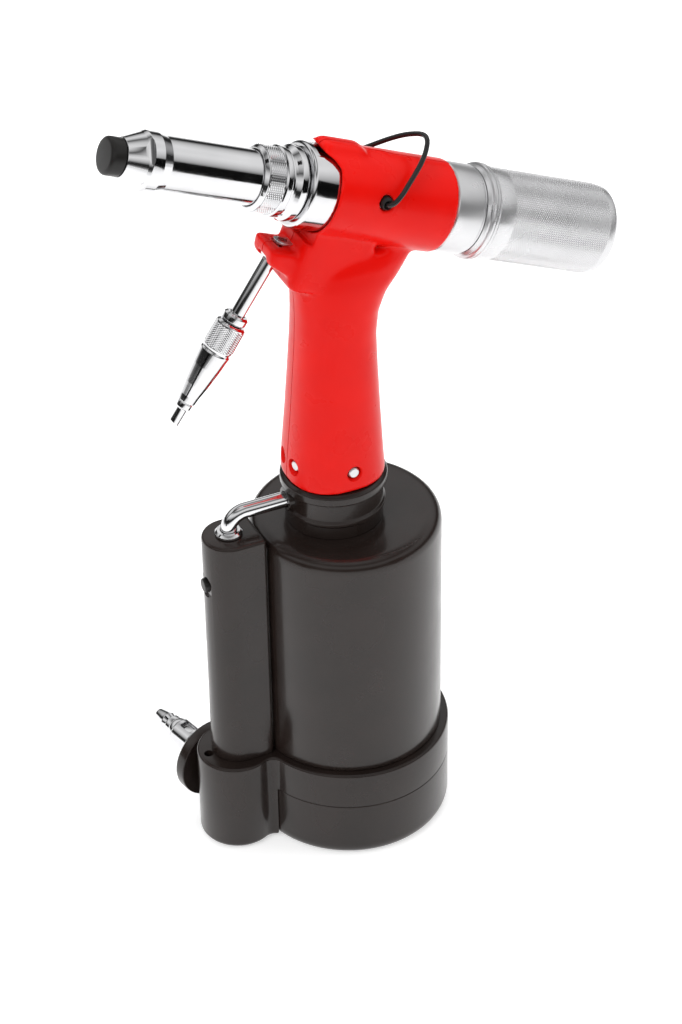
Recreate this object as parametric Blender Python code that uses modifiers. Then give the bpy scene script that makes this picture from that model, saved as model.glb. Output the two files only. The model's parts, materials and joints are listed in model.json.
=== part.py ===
"""Air-hydraulic blind riveter, modelled as separate pieces.

The tool stands on its round base. The origin is the centre of the base's underside, +Z is up,
and the nose points towards -X. Sizes below are in millimetres and become metres when a mesh is made.
The head has its own frame: s runs back along the head's axis, r runs up and square to it.
"""

import math

import bmesh
import bpy
from mathutils import Matrix, Vector

MM = 0.001

# Clearances
GAP = 0.3                 # between pieces that touch or run in each other
WELD = 0.0001             # merge distance of every modifier, in metres

# Sides of the turned pieces
WIDE = 32
ROUND = 20
SMALL = 12

# Base, cap and air cylinder
BASE_RADIUS = 47.0
CAP_HEIGHT = 29.9
CAP_EDGE = 6.0
CAP_SPIGOT = 7.0
BASE_TOP = 48.8
FOOT_LIFT = 0.6
CYLINDER_RADIUS = BASE_RADIUS - 3.6
CYLINDER_BORE = BASE_RADIUS - 7.8
CYLINDER_LENGTH = 118.7
CYLINDER_TOP = BASE_TOP + CYLINDER_LENGTH
CYLINDER_ROOF = 7.0
CYLINDER_EDGE = 6.5

# Valve block, valve housing and inlet
BLOCK_X = -BASE_RADIUS - 10.8
BLOCK_RADIUS = 18.0
VALVE_X = BLOCK_X + 1.3
VALVE_HOUSING_RADIUS = 12.5
VALVE_HOUSING_TOP = CYLINDER_TOP + 3.5
VALVE_BORE = 6.3
VALVE_BORE_FLOOR = 12.0
VALVE_BORE_ROOF = VALVE_HOUSING_TOP - 17.0
VALVE_SPRING_LENGTH = 18.0
SPOOL_LENGTH = 77.0
BUTTON_HEIGHT = VALVE_HOUSING_TOP - 24.5
BUTTON_RADIUS = 3.3
INLET_ANGLE = 105.0       # from +X towards +Y, in degrees
INLET_HEIGHT = 29.3
INLET_DISC_RADIUS = BLOCK_RADIUS + 1.0
INLET_DISC_THICKNESS = 6.0
INLET_BORE = 5.0
EXHAUST_RADIUS = 2.2

# Air piston and ram
PISTON_FLOOR = 41.0
PISTON_THICKNESS = 12.0
RAM_RADIUS = 7.1

# Neck and hydraulic tube
NECK_X = -5.4
NECK_RADIUS = 22.6
COLLAR_RADIUS = 24.0
NECK_TOP = CYLINDER_TOP + 24.2
NECK_SPIGOT_TOP = NECK_TOP + 14.3
NECK_SPIGOT_RADIUS = 18.4
PORT_HEIGHT = NECK_TOP - 10.4
RAM_TOP = NECK_TOP + 5.3
GRIP_LENGTH = 140.8       # from the neck's top to the head's axis
PORT_RADIUS = 5.6
TUBE_RADIUS = 3.6
TUBE_BEND = 8.0
HYDRAULIC_RADIUS = 10.0
HYDRAULIC_TOP = NECK_TOP + GRIP_LENGTH - 26.5
STUB_RADIUS = 7.0         # the head's port, on top of the hydraulic tube

# Head
HEAD_X = -4.4
HEAD_HEIGHT = NECK_TOP + GRIP_LENGTH
HEAD_TILT = 22.45         # degrees, nose up
BARREL_RADIUS = 20.1
BARREL_START = 2.3
BARREL_END = 51.2
SLEEVE_RADIUS = BARREL_RADIUS - 2.9
FRONT_RADIUS = BARREL_RADIUS - 1.8
HEAD_FRONT = -18.6
PRESSURE_BORE = SLEEVE_RADIUS - 1.8
PRESSURE_START = -1.0
GLAND_RADIUS = BARREL_RADIUS - 0.7
GLAND_END = BARREL_END + 15.3
RING_RADIUS = BARREL_RADIUS + 0.8
RING_END = GLAND_END + 6.1
COLLECTOR_RADIUS = BARREL_RADIUS - 0.1
COLLECTOR_END_RADIUS = COLLECTOR_RADIUS - 0.6
COLLECTOR_LENGTH = 63.4
COLLECTOR_WALL = 2.8
COLLECTOR_END = RING_END + COLLECTOR_LENGTH
ROD_RADIUS = 6.0
ROD_FRONT = -60.0
MANDREL_BORE = 2.6
HEAD_PISTON_START = 1.5
HEAD_PISTON_THICKNESS = 7.5

# Nose
NOSE_RADIUS = 11.75
NOSE_SHOULDER_RADIUS = NOSE_RADIUS + 0.85
NOSE_BORE = NOSE_RADIUS - 2.45
NOSE_FRONT = -99.4
CAP_FRONT = NOSE_FRONT - 6.9
CAP_RADIUS = 8.0
JAW_LENGTH = 10.0

# Handle
WALL = 2.8
BOSS_WIDTH = 20.4
NECK_HALF = 13.2          # half width of the red neck under the head
PIVOT_X = -31.0
PIVOT_Z = HEAD_HEIGHT - 23.7
EYE_RADIUS = 4.2
PIN_RADIUS = 1.8
LEVER_LEAN = 34.1         # degrees, from straight down towards the nose
LEVER_LENGTH = 88.6
LEVER_RADIUS = 3.2
LEVER_SWING = 12.0        # degrees, from rest to pulled
GRIP_SHAPES = [           # height above the neck, front x, rear x, half width
    (0.3, -28.3, 16.7, 22.5),
    (12.3, -27.5, 15.9, 21.8),
    (32.3, -25.7, 14.9, 20.5),
    (55.3, -23.9, 13.9, 19.3),
    (72.3, -22.7, 13.5, 18.4),
    (83.3, -22.3, 14.9, 18.0),
    (92.3, -22.5, 19.0, 17.6),
    (99.3, -23.0, 25.5, 17.0),
    (106.3, -23.0, 31.0, 15.5),
    (112.3, -21.0, 31.0, 13.0),
]
GRIP_SECTIONS = [(NECK_TOP + rise, *shape) for rise, *shape in GRIP_SHAPES]

# Bail
BAIL_S = 16.0
BAIL_R = 5.4
BAIL_LEAN = 52.5          # degrees, above the head's axis
BAIL_REACH = 31.5
BAIL_WIRE = 1.1
BALL_RADIUS = 2.9

RED = ((0.80, 0.012, 0.008), 0.22, 0.0)
BLACK = ((0.035, 0.028, 0.026), 0.25, 0.0)
CHROME = ((0.80, 0.80, 0.81), 0.08, 1.0)
STEEL = ((0.45, 0.45, 0.46), 0.35, 1.0)
SATIN = ((0.85, 0.85, 0.86), 0.40, 1.0)
RUBBER = ((0.015, 0.015, 0.015), 0.70, 0.0)


# ---------------------------------------------------------------- helpers

def start_clean():
    """Remove every object of the scene and make the two collections."""
    for obj in list(bpy.data.objects):
        bpy.data.objects.remove(obj, do_unlink=True)
    for name in ("hand_riveter", "cutters"):
        group = bpy.data.collections.get(name) or bpy.data.collections.new(name)
        if name not in bpy.context.scene.collection.children:
            bpy.context.scene.collection.children.link(group)


def frame_at(origin, direction=(0, 0, 1), upward=(1, 0, 0)):
    """A placement whose local Z runs along direction and local X points as near upward as it can."""
    along = Vector(direction).normalized()
    across = along.cross(Vector(upward)).normalized()
    over = across.cross(along)
    matrix = Matrix((over, across, along)).transposed().to_4x4()
    matrix.translation = Vector(origin) * MM
    return matrix


TILT = math.radians(HEAD_TILT)
HEAD_ALONG = Vector((math.cos(TILT), 0.0, -math.sin(TILT)))
HEAD_UP = Vector((math.sin(TILT), 0.0, math.cos(TILT)))
HEAD_ORIGIN = Vector((HEAD_X, 0.0, HEAD_HEIGHT))
LEAN = math.radians(LEVER_LEAN)
LEVER_DOWN = Vector((-math.sin(LEAN), 0.0, -math.cos(LEAN)))
INLET_TURN = math.radians(INLET_ANGLE)
INLET_OUT = Vector((math.cos(INLET_TURN), math.sin(INLET_TURN), 0.0))

BASE_FRAME = frame_at((0, 0, 0))
NECK_FRAME = frame_at((NECK_X, 0, 0))
VALVE_FRAME = frame_at((VALVE_X, 0, 0))
HEAD_FRAME = frame_at(HEAD_ORIGIN, HEAD_ALONG, HEAD_UP)
LEVER_FRAME = frame_at((PIVOT_X, 0, PIVOT_Z), LEVER_DOWN, (0, 1, 0))
INLET_FRAME = frame_at((BLOCK_X, 0, INLET_HEIGHT), INLET_OUT, (0, 0, 1))


def in_head(s, r, y=0.0):
    """World place, in millimetres, of a point of the head's frame."""
    return HEAD_ORIGIN + HEAD_ALONG * s + HEAD_UP * r + Vector((0, y, 0))


def finish(obj, look):
    """Give an object its material and put it with the parts, or with the cutters when look is None."""
    if look is None:
        obj.hide_render = True
        obj.display_type = "WIRE"
        bpy.data.collections["cutters"].objects.link(obj)
        return obj
    colour, roughness, metallic = look
    material = bpy.data.materials.new(obj.name)
    material.use_nodes = True
    shader = material.node_tree.nodes["Principled BSDF"]
    shader.inputs["Base Color"].default_value = (*colour, 1.0)
    shader.inputs["Roughness"].default_value = roughness
    shader.inputs["Metallic"].default_value = metallic
    obj.data.materials.clear()
    obj.data.materials.append(material)
    bpy.data.collections["hand_riveter"].objects.link(obj)
    return obj


def mesh_object(name, bm, frame, look):
    """Turn a bmesh in millimetres into an object placed by its frame."""
    bmesh.ops.recalc_face_normals(bm, faces=bm.faces)
    bmesh.ops.scale(bm, vec=(MM, MM, MM), verts=bm.verts)
    mesh = bpy.data.meshes.new(name)
    bm.to_mesh(mesh)
    bm.free()
    obj = bpy.data.objects.new(name, mesh)
    obj.matrix_world = frame
    return finish(obj, look)


def clockwise(profile):
    """The profile's points in the order that runs down its outer side."""
    area = 0.0
    for (r0, z0), (r1, z1) in zip(profile, profile[1:] + profile[:1]):
        area += r0 * z1 - r1 * z0
    return profile if area < 0 else profile[::-1]


def turned(name, profile, frame, look, steps=ROUND, twist=0.0):
    """A body turned about the frame's Z from (radius, height) points.

    A twist, in steps, keeps the sides of two bodies on one axis from meeting edge on edge.
    """
    points = clockwise(profile)
    closed = min(radius for radius, height in points) > 0
    while not closed and max(points[0][0], points[-1][0]) > 0:
        points = points[1:] + points[:1]
    start = math.tau / steps * (twist if look else 0.37)
    bm = bmesh.new()
    verts = [bm.verts.new((radius * MM * math.cos(start), radius * MM * math.sin(start), height * MM))
             for radius, height in points]
    for first, second in zip(verts, verts[1:]):
        bm.edges.new((first, second))
    if closed:
        bm.edges.new((verts[-1], verts[0]))
    mesh = bpy.data.meshes.new(name)
    bm.to_mesh(mesh)
    bm.free()
    obj = bpy.data.objects.new(name, mesh)
    obj.matrix_world = frame
    screw = obj.modifiers.new("turn", "SCREW")
    screw.axis = "Z"
    screw.angle = math.tau
    screw.steps = steps
    screw.render_steps = steps
    screw.use_merge_vertices = True
    screw.merge_threshold = WELD
    screw.use_smooth_shade = True
    return finish(obj, look)


def solid_profile(*points):
    """An outer profile closed onto the axis at both ends."""
    return [(0.0, points[0][1]), *points, (0.0, points[-1][1])]


def rod_profile(radius, low, high, chamfer=0.0):
    """A plain cylinder's profile, with chamfered ends."""
    if not chamfer:
        return solid_profile((radius, low), (radius, high))
    return solid_profile((radius - chamfer, low), (radius, low + chamfer),
                         (radius, high - chamfer), (radius - chamfer, high))


def ring_profile(inner, outer, low, high):
    """A plain ring's profile."""
    return [(inner, low), (outer, low), (outer, high), (inner, high)]


def seal_profile(radius, height, section, sides=6):
    """An O-ring's profile."""
    turns = [math.tau * (k + 0.5) / sides for k in range(sides)]
    return [(radius + section * math.cos(a), height + section * math.sin(a)) for a in turns]


def arc(centre, radius, start, end, count):
    """Points on an arc between two angles in degrees."""
    angles = [math.radians(start + (end - start) * k / count) for k in range(count + 1)]
    return [(centre[0] + radius * math.cos(a), centre[1] + radius * math.sin(a)) for a in angles]


def block(name, low, high, frame, look, bevel=0.0):
    """A box between two corners of a frame, with its edges bevelled."""
    bm = bmesh.new()
    bmesh.ops.create_cube(bm, size=1.0)
    size = Vector(high) - Vector(low)
    middle = (Vector(high) + Vector(low)) / 2
    bmesh.ops.scale(bm, vec=size, verts=bm.verts)
    bmesh.ops.translate(bm, vec=middle, verts=bm.verts)
    if bevel:
        bmesh.ops.bevel(bm, geom=bm.edges[:], offset=bevel, segments=1, affect="EDGES")
    return mesh_object(name, bm, frame, look)


def prism(name, outline, low, high, look, chamfers=()):
    """An outline in world X and Z, extruded between two Y values.

    Each chamfer is (x, z, width): it cuts the long edge at that corner of the outline.
    """
    bm = bmesh.new()
    near = [bm.verts.new((x, low, z)) for x, z in outline]
    face = bm.faces.new(near)
    moved = bmesh.ops.extrude_face_region(bm, geom=[face])["geom"]
    bmesh.ops.translate(bm, vec=(0, high - low, 0),
                        verts=[item for item in moved if isinstance(item, bmesh.types.BMVert)])
    for x, z, width in chamfers:
        corner = Vector((x, 0, z))
        edges = [edge for edge in bm.edges
                 if all((vert.co - Vector((0, vert.co.y, 0)) - corner).length < 0.01 for vert in edge.verts)]
        bmesh.ops.bevel(bm, geom=edges, offset=width, segments=1, affect="EDGES")
    return mesh_object(name, bm, Matrix.Identity(4), look)


def loft(name, sections, look, sides=36, power=2.35):
    """A body through rounded sections (height, front x, rear x, half width)."""
    bm = bmesh.new()
    rings = []
    for height, front, rear, half in sections:
        middle = (front + rear) / 2
        depth = (rear - front) / 2
        ring = []
        for k in range(sides):
            angle = math.tau * (k + 0.5) / sides
            c = math.cos(angle)
            s = math.sin(angle)
            x = middle + depth * math.copysign(abs(c) ** (2 / power), c)
            y = half * math.copysign(abs(s) ** (2 / power), s)
            ring.append(bm.verts.new((x, y, height)))
        rings.append(ring)
    for lower, upper in zip(rings, rings[1:]):
        for k in range(sides):
            after = (k + 1) % sides
            bm.faces.new((lower[k], lower[after], upper[after], upper[k]))
    bm.faces.new(rings[0][::-1])
    bm.faces.new(rings[-1])
    return mesh_object(name, bm, Matrix.Identity(4), look)


def wire(name, points, radius, look, resolution=2, closed=False):
    """A round wire through points in millimetres, made a mesh with welded caps."""
    curve = bpy.data.curves.new(name, "CURVE")
    curve.dimensions = "3D"
    curve.bevel_depth = radius * MM
    curve.bevel_resolution = resolution
    curve.use_fill_caps = not closed
    spline = curve.splines.new("POLY")
    spline.points.add(len(points) - 1)
    for point, place in zip(spline.points, points):
        point.co = (*(Vector(place) * MM), 1.0)
    spline.use_cyclic_u = closed
    holder = bpy.data.objects.new(name + "_curve", curve)
    bpy.context.scene.collection.objects.link(holder)
    graph = bpy.context.evaluated_depsgraph_get()
    mesh = bpy.data.meshes.new_from_object(holder.evaluated_get(graph))
    bpy.data.objects.remove(holder, do_unlink=True)
    bm = bmesh.new()
    bm.from_mesh(mesh)
    bmesh.ops.remove_doubles(bm, verts=bm.verts, dist=WELD / 10)
    bmesh.ops.recalc_face_normals(bm, faces=bm.faces)
    bm.to_mesh(mesh)
    bm.free()
    obj = bpy.data.objects.new(name, mesh)
    return finish(obj, look)


def coil(name, radius, section, low, high, turns, frame, look):
    """A compression spring between two heights of a frame, ends included."""
    count = turns * 8
    rise = high - low - 2 * section
    points = []
    for k in range(count + 1):
        angle = math.tau * k / 8
        height = low + section + rise * k / count
        points.append(Vector((radius * math.cos(angle), radius * math.sin(angle), height)))
    turn = frame.to_3x3()
    places = [turn @ point + frame.translation / MM for point in points]
    return wire(name, places, section, look, resolution=0)


def combine(obj, others, operation):
    """Join other bodies to an object, or cut them from it."""
    for other in others:
        modifier = obj.modifiers.new(operation.lower(), "BOOLEAN")
        modifier.operation = operation
        modifier.solver = "EXACT"
        modifier.object = other
    return obj


def cut(obj, *others):
    return combine(obj, others, "DIFFERENCE")


def join(obj, *others):
    return combine(obj, others, "UNION")


# ---------------------------------------------------------------- base and air motor

def bottom_cap():
    """The screwed bottom cap with its spigot, and the seal in the spigot's groove."""
    spigot = CYLINDER_BORE - GAP
    top = CAP_HEIGHT + CAP_SPIGOT
    groove = CAP_HEIGHT + 2.5
    depth = 2.4
    edge = arc((BASE_RADIUS - CAP_EDGE, CAP_EDGE), CAP_EDGE, -90, 0, 5)
    profile = [(0, 0), (17, 0), (18, 1.5), (30, 1.5), (31, 0), *edge,
               (BASE_RADIUS, CAP_HEIGHT), (spigot, CAP_HEIGHT), (spigot, groove),
               (spigot - depth, groove), (spigot - depth, groove + depth), (spigot, groove + depth),
               (spigot, top), (spigot - 6, top), (spigot - 8, 9), (0, 9)]
    turned("bottom_cap", profile, BASE_FRAME, BLACK, WIDE)
    seal = 1.05
    turned("cap_seal", seal_profile(CYLINDER_BORE - GAP / 2 - seal, groove + depth / 2, seal), BASE_FRAME,
           RUBBER, ROUND)


def base_housing():
    """The ring above the cap, with the side block that holds the valve and the air inlet."""
    low = CAP_HEIGHT + GAP
    edge = arc((BASE_RADIUS - 2.5, BASE_TOP - 2.5), 2.5, 0, 90, 3)
    ring = [(CYLINDER_BORE, low), (BASE_RADIUS, low), *edge, (CYLINDER_BORE, BASE_TOP)]
    housing = turned("base_housing", ring, BASE_FRAME, BLACK, WIDE)
    block_frame = frame_at((BLOCK_X, 0, 0))
    rim = arc((BLOCK_RADIUS - 2.5, BASE_TOP - 2.5), 2.5, 0, 90, 3)
    foot = arc((BLOCK_RADIUS - 3.5, FOOT_LIFT + 3.5), 3.5, -90, 0, 3)
    side = turned("side_block_add", solid_profile(*foot, *rim), block_frame, None, ROUND)
    reach = BASE_RADIUS - 4
    web = block("side_web_add", (BLOCK_X + 8, -13.5, low + 0.4), (-reach, 13.5, BASE_TOP - 0.4),
                BASE_FRAME, None)
    room = turned("cap_room_cut", rod_profile(BASE_RADIUS + 0.5, -5, low - 0.05), BASE_FRAME, None, WIDE)
    inside = turned("block_bore_cut", rod_profile(CYLINDER_BORE + 1.5, -5, BASE_TOP + 5), BASE_FRAME,
                    None, WIDE)
    valve = turned("base_valve_cut", rod_profile(VALVE_BORE, VALVE_BORE_FLOOR, BASE_TOP + 2),
                   VALVE_FRAME, None, ROUND)
    inlet = turned("base_inlet_cut", rod_profile(INLET_BORE, 0, 40), INLET_FRAME, None, SMALL)
    seat = block("inlet_seat_cut", (-30, -30, BLOCK_RADIUS - 1.5), (30, 30, BLOCK_RADIUS + 20),
                 INLET_FRAME, None)
    exhaust_x = BLOCK_X - BLOCK_RADIUS + 4.6
    exhaust = turned("exhaust_cut", rod_profile(EXHAUST_RADIUS, BASE_TOP - 9, BASE_TOP + 3),
                     frame_at((exhaust_x, 0, 0)), None, SMALL)
    cut(side, inside)
    join(housing, side, web)
    cut(housing, room, valve, inlet, seat, exhaust)


def air_cylinder():
    """The cylinder wall and roof, with the valve housing cast beside it."""
    low = BASE_TOP + GAP
    straight = CYLINDER_TOP - CYLINDER_EDGE
    edge = arc((CYLINDER_RADIUS - CYLINDER_EDGE, straight), CYLINDER_EDGE, 0, 90, 5)
    inside = CYLINDER_TOP - CYLINDER_ROOF
    profile = [(0, inside), (CYLINDER_BORE, inside), (CYLINDER_BORE, low), (CYLINDER_RADIUS, low),
               *edge, (0, CYLINDER_TOP)]
    body = turned("air_cylinder", profile, BASE_FRAME, BLACK, WIDE)
    rim = arc((VALVE_HOUSING_RADIUS - 1.5, VALVE_HOUSING_TOP - 1.5), 1.5, 0, 90, 2)
    passage = TUBE_RADIUS + 0.6
    housing = turned("valve_housing_add",
                     [(VALVE_BORE, low), (VALVE_HOUSING_RADIUS, low), *rim, (passage, VALVE_HOUSING_TOP),
                      (passage, VALVE_BORE_ROOF), (VALVE_BORE, VALVE_BORE_ROOF)], VALVE_FRAME, None, ROUND)
    half = VALVE_HOUSING_RADIUS - 0.7
    web = block("valve_web_add", (VALVE_X + VALVE_BORE + 1.5, -half, low + 0.4),
                (-CYLINDER_BORE - 1.5, half, VALVE_HOUSING_TOP - 1.7), BASE_FRAME, None)
    neck_hole = turned("neck_hole_cut", rod_profile(12.3, inside - 3, CYLINDER_TOP + 3), NECK_FRAME,
                       None, ROUND)
    button_frame = frame_at((VALVE_X, 0, BUTTON_HEIGHT), (-1, 0, 0), (0, 0, 1))
    button = turned("button_bore_cut", rod_profile(BUTTON_RADIUS + GAP, 0, 20), button_frame, None, SMALL)
    cut(housing, button)
    join(body, web, housing)
    cut(body, neck_hole)
    out = VALVE_HOUSING_RADIUS + 0.9
    turned("side_button", solid_profile((BUTTON_RADIUS, 5.5), (BUTTON_RADIUS, out - 0.8),
                                        (BUTTON_RADIUS - 0.8, out)), button_frame, RUBBER, SMALL)


def valve():
    """The valve's spool, spring and plug, in the bore shared by the base and the cylinder."""
    floor = VALVE_BORE_FLOOR + GAP
    spring_top = floor + VALVE_SPRING_LENGTH
    coil("valve_spring", 3.6, 0.6, floor, spring_top, 6, VALVE_FRAME, STEEL)
    low = spring_top + GAP
    high = low + SPOOL_LENGTH
    land = VALVE_BORE - GAP
    waist = land - 2.2
    step = SPOOL_LENGTH / 7
    points = []
    for k in range(7):
        radius = land if k % 2 == 0 else waist
        points.append((radius, low + k * step))
        points.append((radius, low + (k + 1) * step))
    turned("valve_spool", solid_profile(*points), VALVE_FRAME, STEEL, SMALL)
    plug_low = high + 8
    plug_high = BUTTON_HEIGHT - BUTTON_RADIUS - 4
    turned("valve_plug", rod_profile(land, plug_low, plug_high, 0.8), VALVE_FRAME, STEEL, SMALL)


def inlet():
    """The air inlet: a black flange on the side block, a swivel body and the plug nipple."""
    start = BLOCK_RADIUS - 1.5 + GAP
    end = start + INLET_DISC_THICKNESS
    spigot = INLET_BORE - GAP
    edge = arc((INLET_DISC_RADIUS - 2, end - 2), 2, 0, 90, 3)
    flange = [(2.6, start - 5), (spigot, start - 5), (spigot, start), (INLET_DISC_RADIUS, start), *edge,
              (9.0, end), (9.0, end + 2.5), (INLET_BORE, end + 2.5), (INLET_BORE, start + 3),
              (2.6, start + 3)]
    turned("inlet_flange", flange, INLET_FRAME, BLACK, ROUND)
    seat = start + 3 + GAP
    body_end = end + 24
    front = end + 2.5 + GAP
    turned("inlet_swivel", [(2.6, seat), (spigot, seat), (spigot, front), (7.6, front), (8.2, front + 1),
                            (8.2, front + 5), (6.9, front + 6.5), (6.9, body_end - 4), (6.2, body_end - 3),
                            (6.2, body_end - 1), (5.6, body_end), (3.3, body_end), (3.3, body_end - 6),
                            (2.6, body_end - 6)], INLET_FRAME, CHROME, ROUND)
    tip = body_end + 14
    turned("inlet_nipple", [(1.6, body_end - 5.5), (3.0, body_end - 5.5), (3.0, body_end + GAP),
                            (5.2, body_end + GAP), (5.2, body_end + 3), (3.9, body_end + 4.2),
                            (4.6, body_end + 6.5), (4.2, body_end + 8), (2.9, tip), (1.6, tip)],
           INLET_FRAME, CHROME, SMALL)


def air_piston():
    """The air piston with its seal, the ram that it drives, and the spring above it."""
    radius = CYLINDER_BORE - GAP
    low = PISTON_FLOOR
    high = low + PISTON_THICKNESS
    groove = low + 4.5
    depth = 3.0
    turned("air_piston", [(0, low), (radius - 1, low), (radius, low + 1), (radius, groove),
                          (radius - depth, groove), (radius - depth, groove + depth),
                          (radius, groove + depth), (radius, high), (radius - 5, high),
                          (radius - 7, high - 5), (0, high - 5)], BASE_FRAME, SATIN, WIDE)
    seal = 1.3
    turned("air_piston_seal", seal_profile(radius - seal, groove + depth / 2, seal), BASE_FRAME,
           RUBBER, ROUND)
    foot = high - 5 + GAP
    turned("ram_rod", solid_profile((11, foot), (11, foot + 4), (RAM_RADIUS, foot + 6),
                                    (RAM_RADIUS, RAM_TOP - 1), (RAM_RADIUS - 1, RAM_TOP)),
           NECK_FRAME, STEEL, SMALL)
    coil("piston_spring", 19.0, 1.5, high - 5 + GAP, CYLINDER_TOP - CYLINDER_ROOF - GAP, 6,
         NECK_FRAME, STEEL)


# ---------------------------------------------------------------- neck and tubes

def neck():
    """The neck housing between cylinder and handle, with its side port and the ram's seal."""
    foot = CYLINDER_TOP + GAP
    ram = RAM_RADIUS + GAP
    shelf = PORT_HEIGHT + 2
    seal_floor = shelf - 6
    tube = HYDRAULIC_RADIUS + GAP
    collar = arc((COLLAR_RADIUS - 1.8, NECK_TOP - 3.2), 1.8, -60, 60, 4)
    profile = [(ram, foot - 11), (12.0, foot - 11), (12.0, foot), (NECK_RADIUS - 0.6, foot),
               (NECK_RADIUS - 1.4, foot + 5.5), (NECK_RADIUS + 0.4, foot + 7),
               (NECK_RADIUS + 0.4, foot + 8.5),
               (NECK_RADIUS - 0.6, foot + 9.5), (NECK_RADIUS - 0.6, NECK_TOP - 6), *collar,
               (COLLAR_RADIUS - 1.5, NECK_TOP), (NECK_SPIGOT_RADIUS, NECK_TOP),
               (NECK_SPIGOT_RADIUS, NECK_SPIGOT_TOP), (tube, NECK_SPIGOT_TOP), (tube, shelf),
               (tube - 1.3, shelf), (tube - 1.3, seal_floor), (ram, seal_floor)]
    body = turned("neck_housing", profile, NECK_FRAME, BLACK, WIDE)
    port_frame = frame_at((NECK_X, 0, PORT_HEIGHT), (-1, 0, 0), (0, 0, 1))
    boss = turned("port_add", rod_profile(PORT_RADIUS, 16, NECK_RADIUS + 1.2, 0.5), port_frame, None, ROUND)
    hole = turned("port_cut", rod_profile(TUBE_RADIUS + GAP, NECK_RADIUS - 7, 40), port_frame, None, SMALL)
    join(body, boss)
    cut(body, hole, *screw_holes("neck", 1.9))
    turned("ram_seal", ring_profile(ram, tube - 1.3 - GAP, seal_floor + GAP, shelf - GAP), NECK_FRAME,
           RUBBER, ROUND)
    turned("hydraulic_tube", ring_profile(RAM_RADIUS + 0.5, HYDRAULIC_RADIUS, shelf + GAP, HYDRAULIC_TOP),
           NECK_FRAME, STEEL, ROUND)


def transfer_tube():
    """The bent air tube from the neck's port to the valve housing, and its ferrule."""
    start = NECK_X - NECK_RADIUS + 6.5
    bend_x = VALVE_X + TUBE_BEND
    bend_z = PORT_HEIGHT - TUBE_BEND
    corner = [(x, 0, z) for x, z in arc((bend_x, bend_z), TUBE_BEND, 90, 180, 7)]
    end = VALVE_HOUSING_TOP - 6
    points = [(start, 0, PORT_HEIGHT), *corner, (VALVE_X, 0, end)]
    wire("transfer_tube", points, TUBE_RADIUS, CHROME, resolution=3)
    top = VALVE_HOUSING_TOP + GAP
    hole = TUBE_RADIUS + GAP
    turned("tube_ferrule", [(hole, top), (TUBE_RADIUS + 2.6, top), (TUBE_RADIUS + 2.6, top + 1.2),
                            (TUBE_RADIUS + 1.6, top + 2.2), (hole, top + 2.2)],
           VALVE_FRAME, STEEL, SMALL)


# ---------------------------------------------------------------- handle

def screw_places():
    """Where the shell screws go: a name, their heading from the handle's axis and their height."""
    height = NECK_TOP + 9.8
    return [("side", 88.6, height), ("front", 166.0, height)]


def screw_frames(side):
    """Placements of one shell's screws, local Z pointing out of the shell."""
    frames = []
    for label, heading, height in screw_places():
        turn = math.radians(heading) * side
        frames.append(frame_at((NECK_X, 0, height), (math.cos(turn), math.sin(turn), 0), (0, 0, 1)))
    return frames


def screw_holes(label, radius):
    """Cutters for the screws' shanks in both shells."""
    holes = []
    for side in (-1, 1):
        for number, frame in enumerate(screw_frames(side)):
            name = f"{label}_screw_cut_{side + 1}_{number}"
            holes.append(turned(name, rod_profile(radius, 12.5, 30), frame, None, SMALL))
    return holes


def shell_screws():
    """The small screws at the foot of the handle, two in each shell."""
    profile = solid_profile((1.5, 13.2), (1.5, 19.4), (2.6, 19.4), (2.6, 20.9), (2.1, 21.4))
    frames = [frame for side in (-1, 1) for frame in screw_frames(side)]
    for number, frame in enumerate(frames):
        turned(f"shell_screw_{number + 1}", profile, frame, STEEL, 12)


def grip_cavity():
    """The hollow inside the grip: the grip's own sections, one wall smaller."""
    sections = [(height, front + WALL, rear - WALL, half - WALL)
                for height, front, rear, half in GRIP_SECTIONS[:6]]
    sections[0] = (GRIP_SECTIONS[0][0] - 3, *sections[0][1:])
    return loft("grip_cavity_cut", sections, None)


def boss_outline():
    """Side view of the trigger boss, running back into the grip."""
    front_top = in_head(-22.0, -27.0)
    front_low = in_head(-20.8, -34.5)
    back_top = in_head(6.0, -27.0)
    return [(front_top.x, front_top.z), (front_low.x, front_low.z), (-22.4, NECK_TOP + 93.9),
            (-9.0, NECK_TOP + 85.0), (0.0, NECK_TOP + 98.3), (back_top.x, back_top.z)]


def slot_outline():
    """Side view of the room that the lever needs between its two limits."""
    reach = 40.0
    room = EYE_RADIUS + 0.8
    first = LEAN + math.radians(1.5)
    last = LEAN - math.radians(LEVER_SWING + 1.5)
    front = (-math.cos(first), math.sin(first))
    back = (math.cos(last), -math.sin(last))
    points = arc((PIVOT_X, PIVOT_Z), room, -math.degrees(last), 180 - math.degrees(first), 7)
    points.append((PIVOT_X - reach * math.sin(first) + room * front[0],
                   PIVOT_Z - reach * math.cos(first) + room * front[1]))
    points.append((PIVOT_X - reach * math.sin(last) + room * back[0],
                   PIVOT_Z - reach * math.cos(last) + room * back[1]))
    return points


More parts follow.
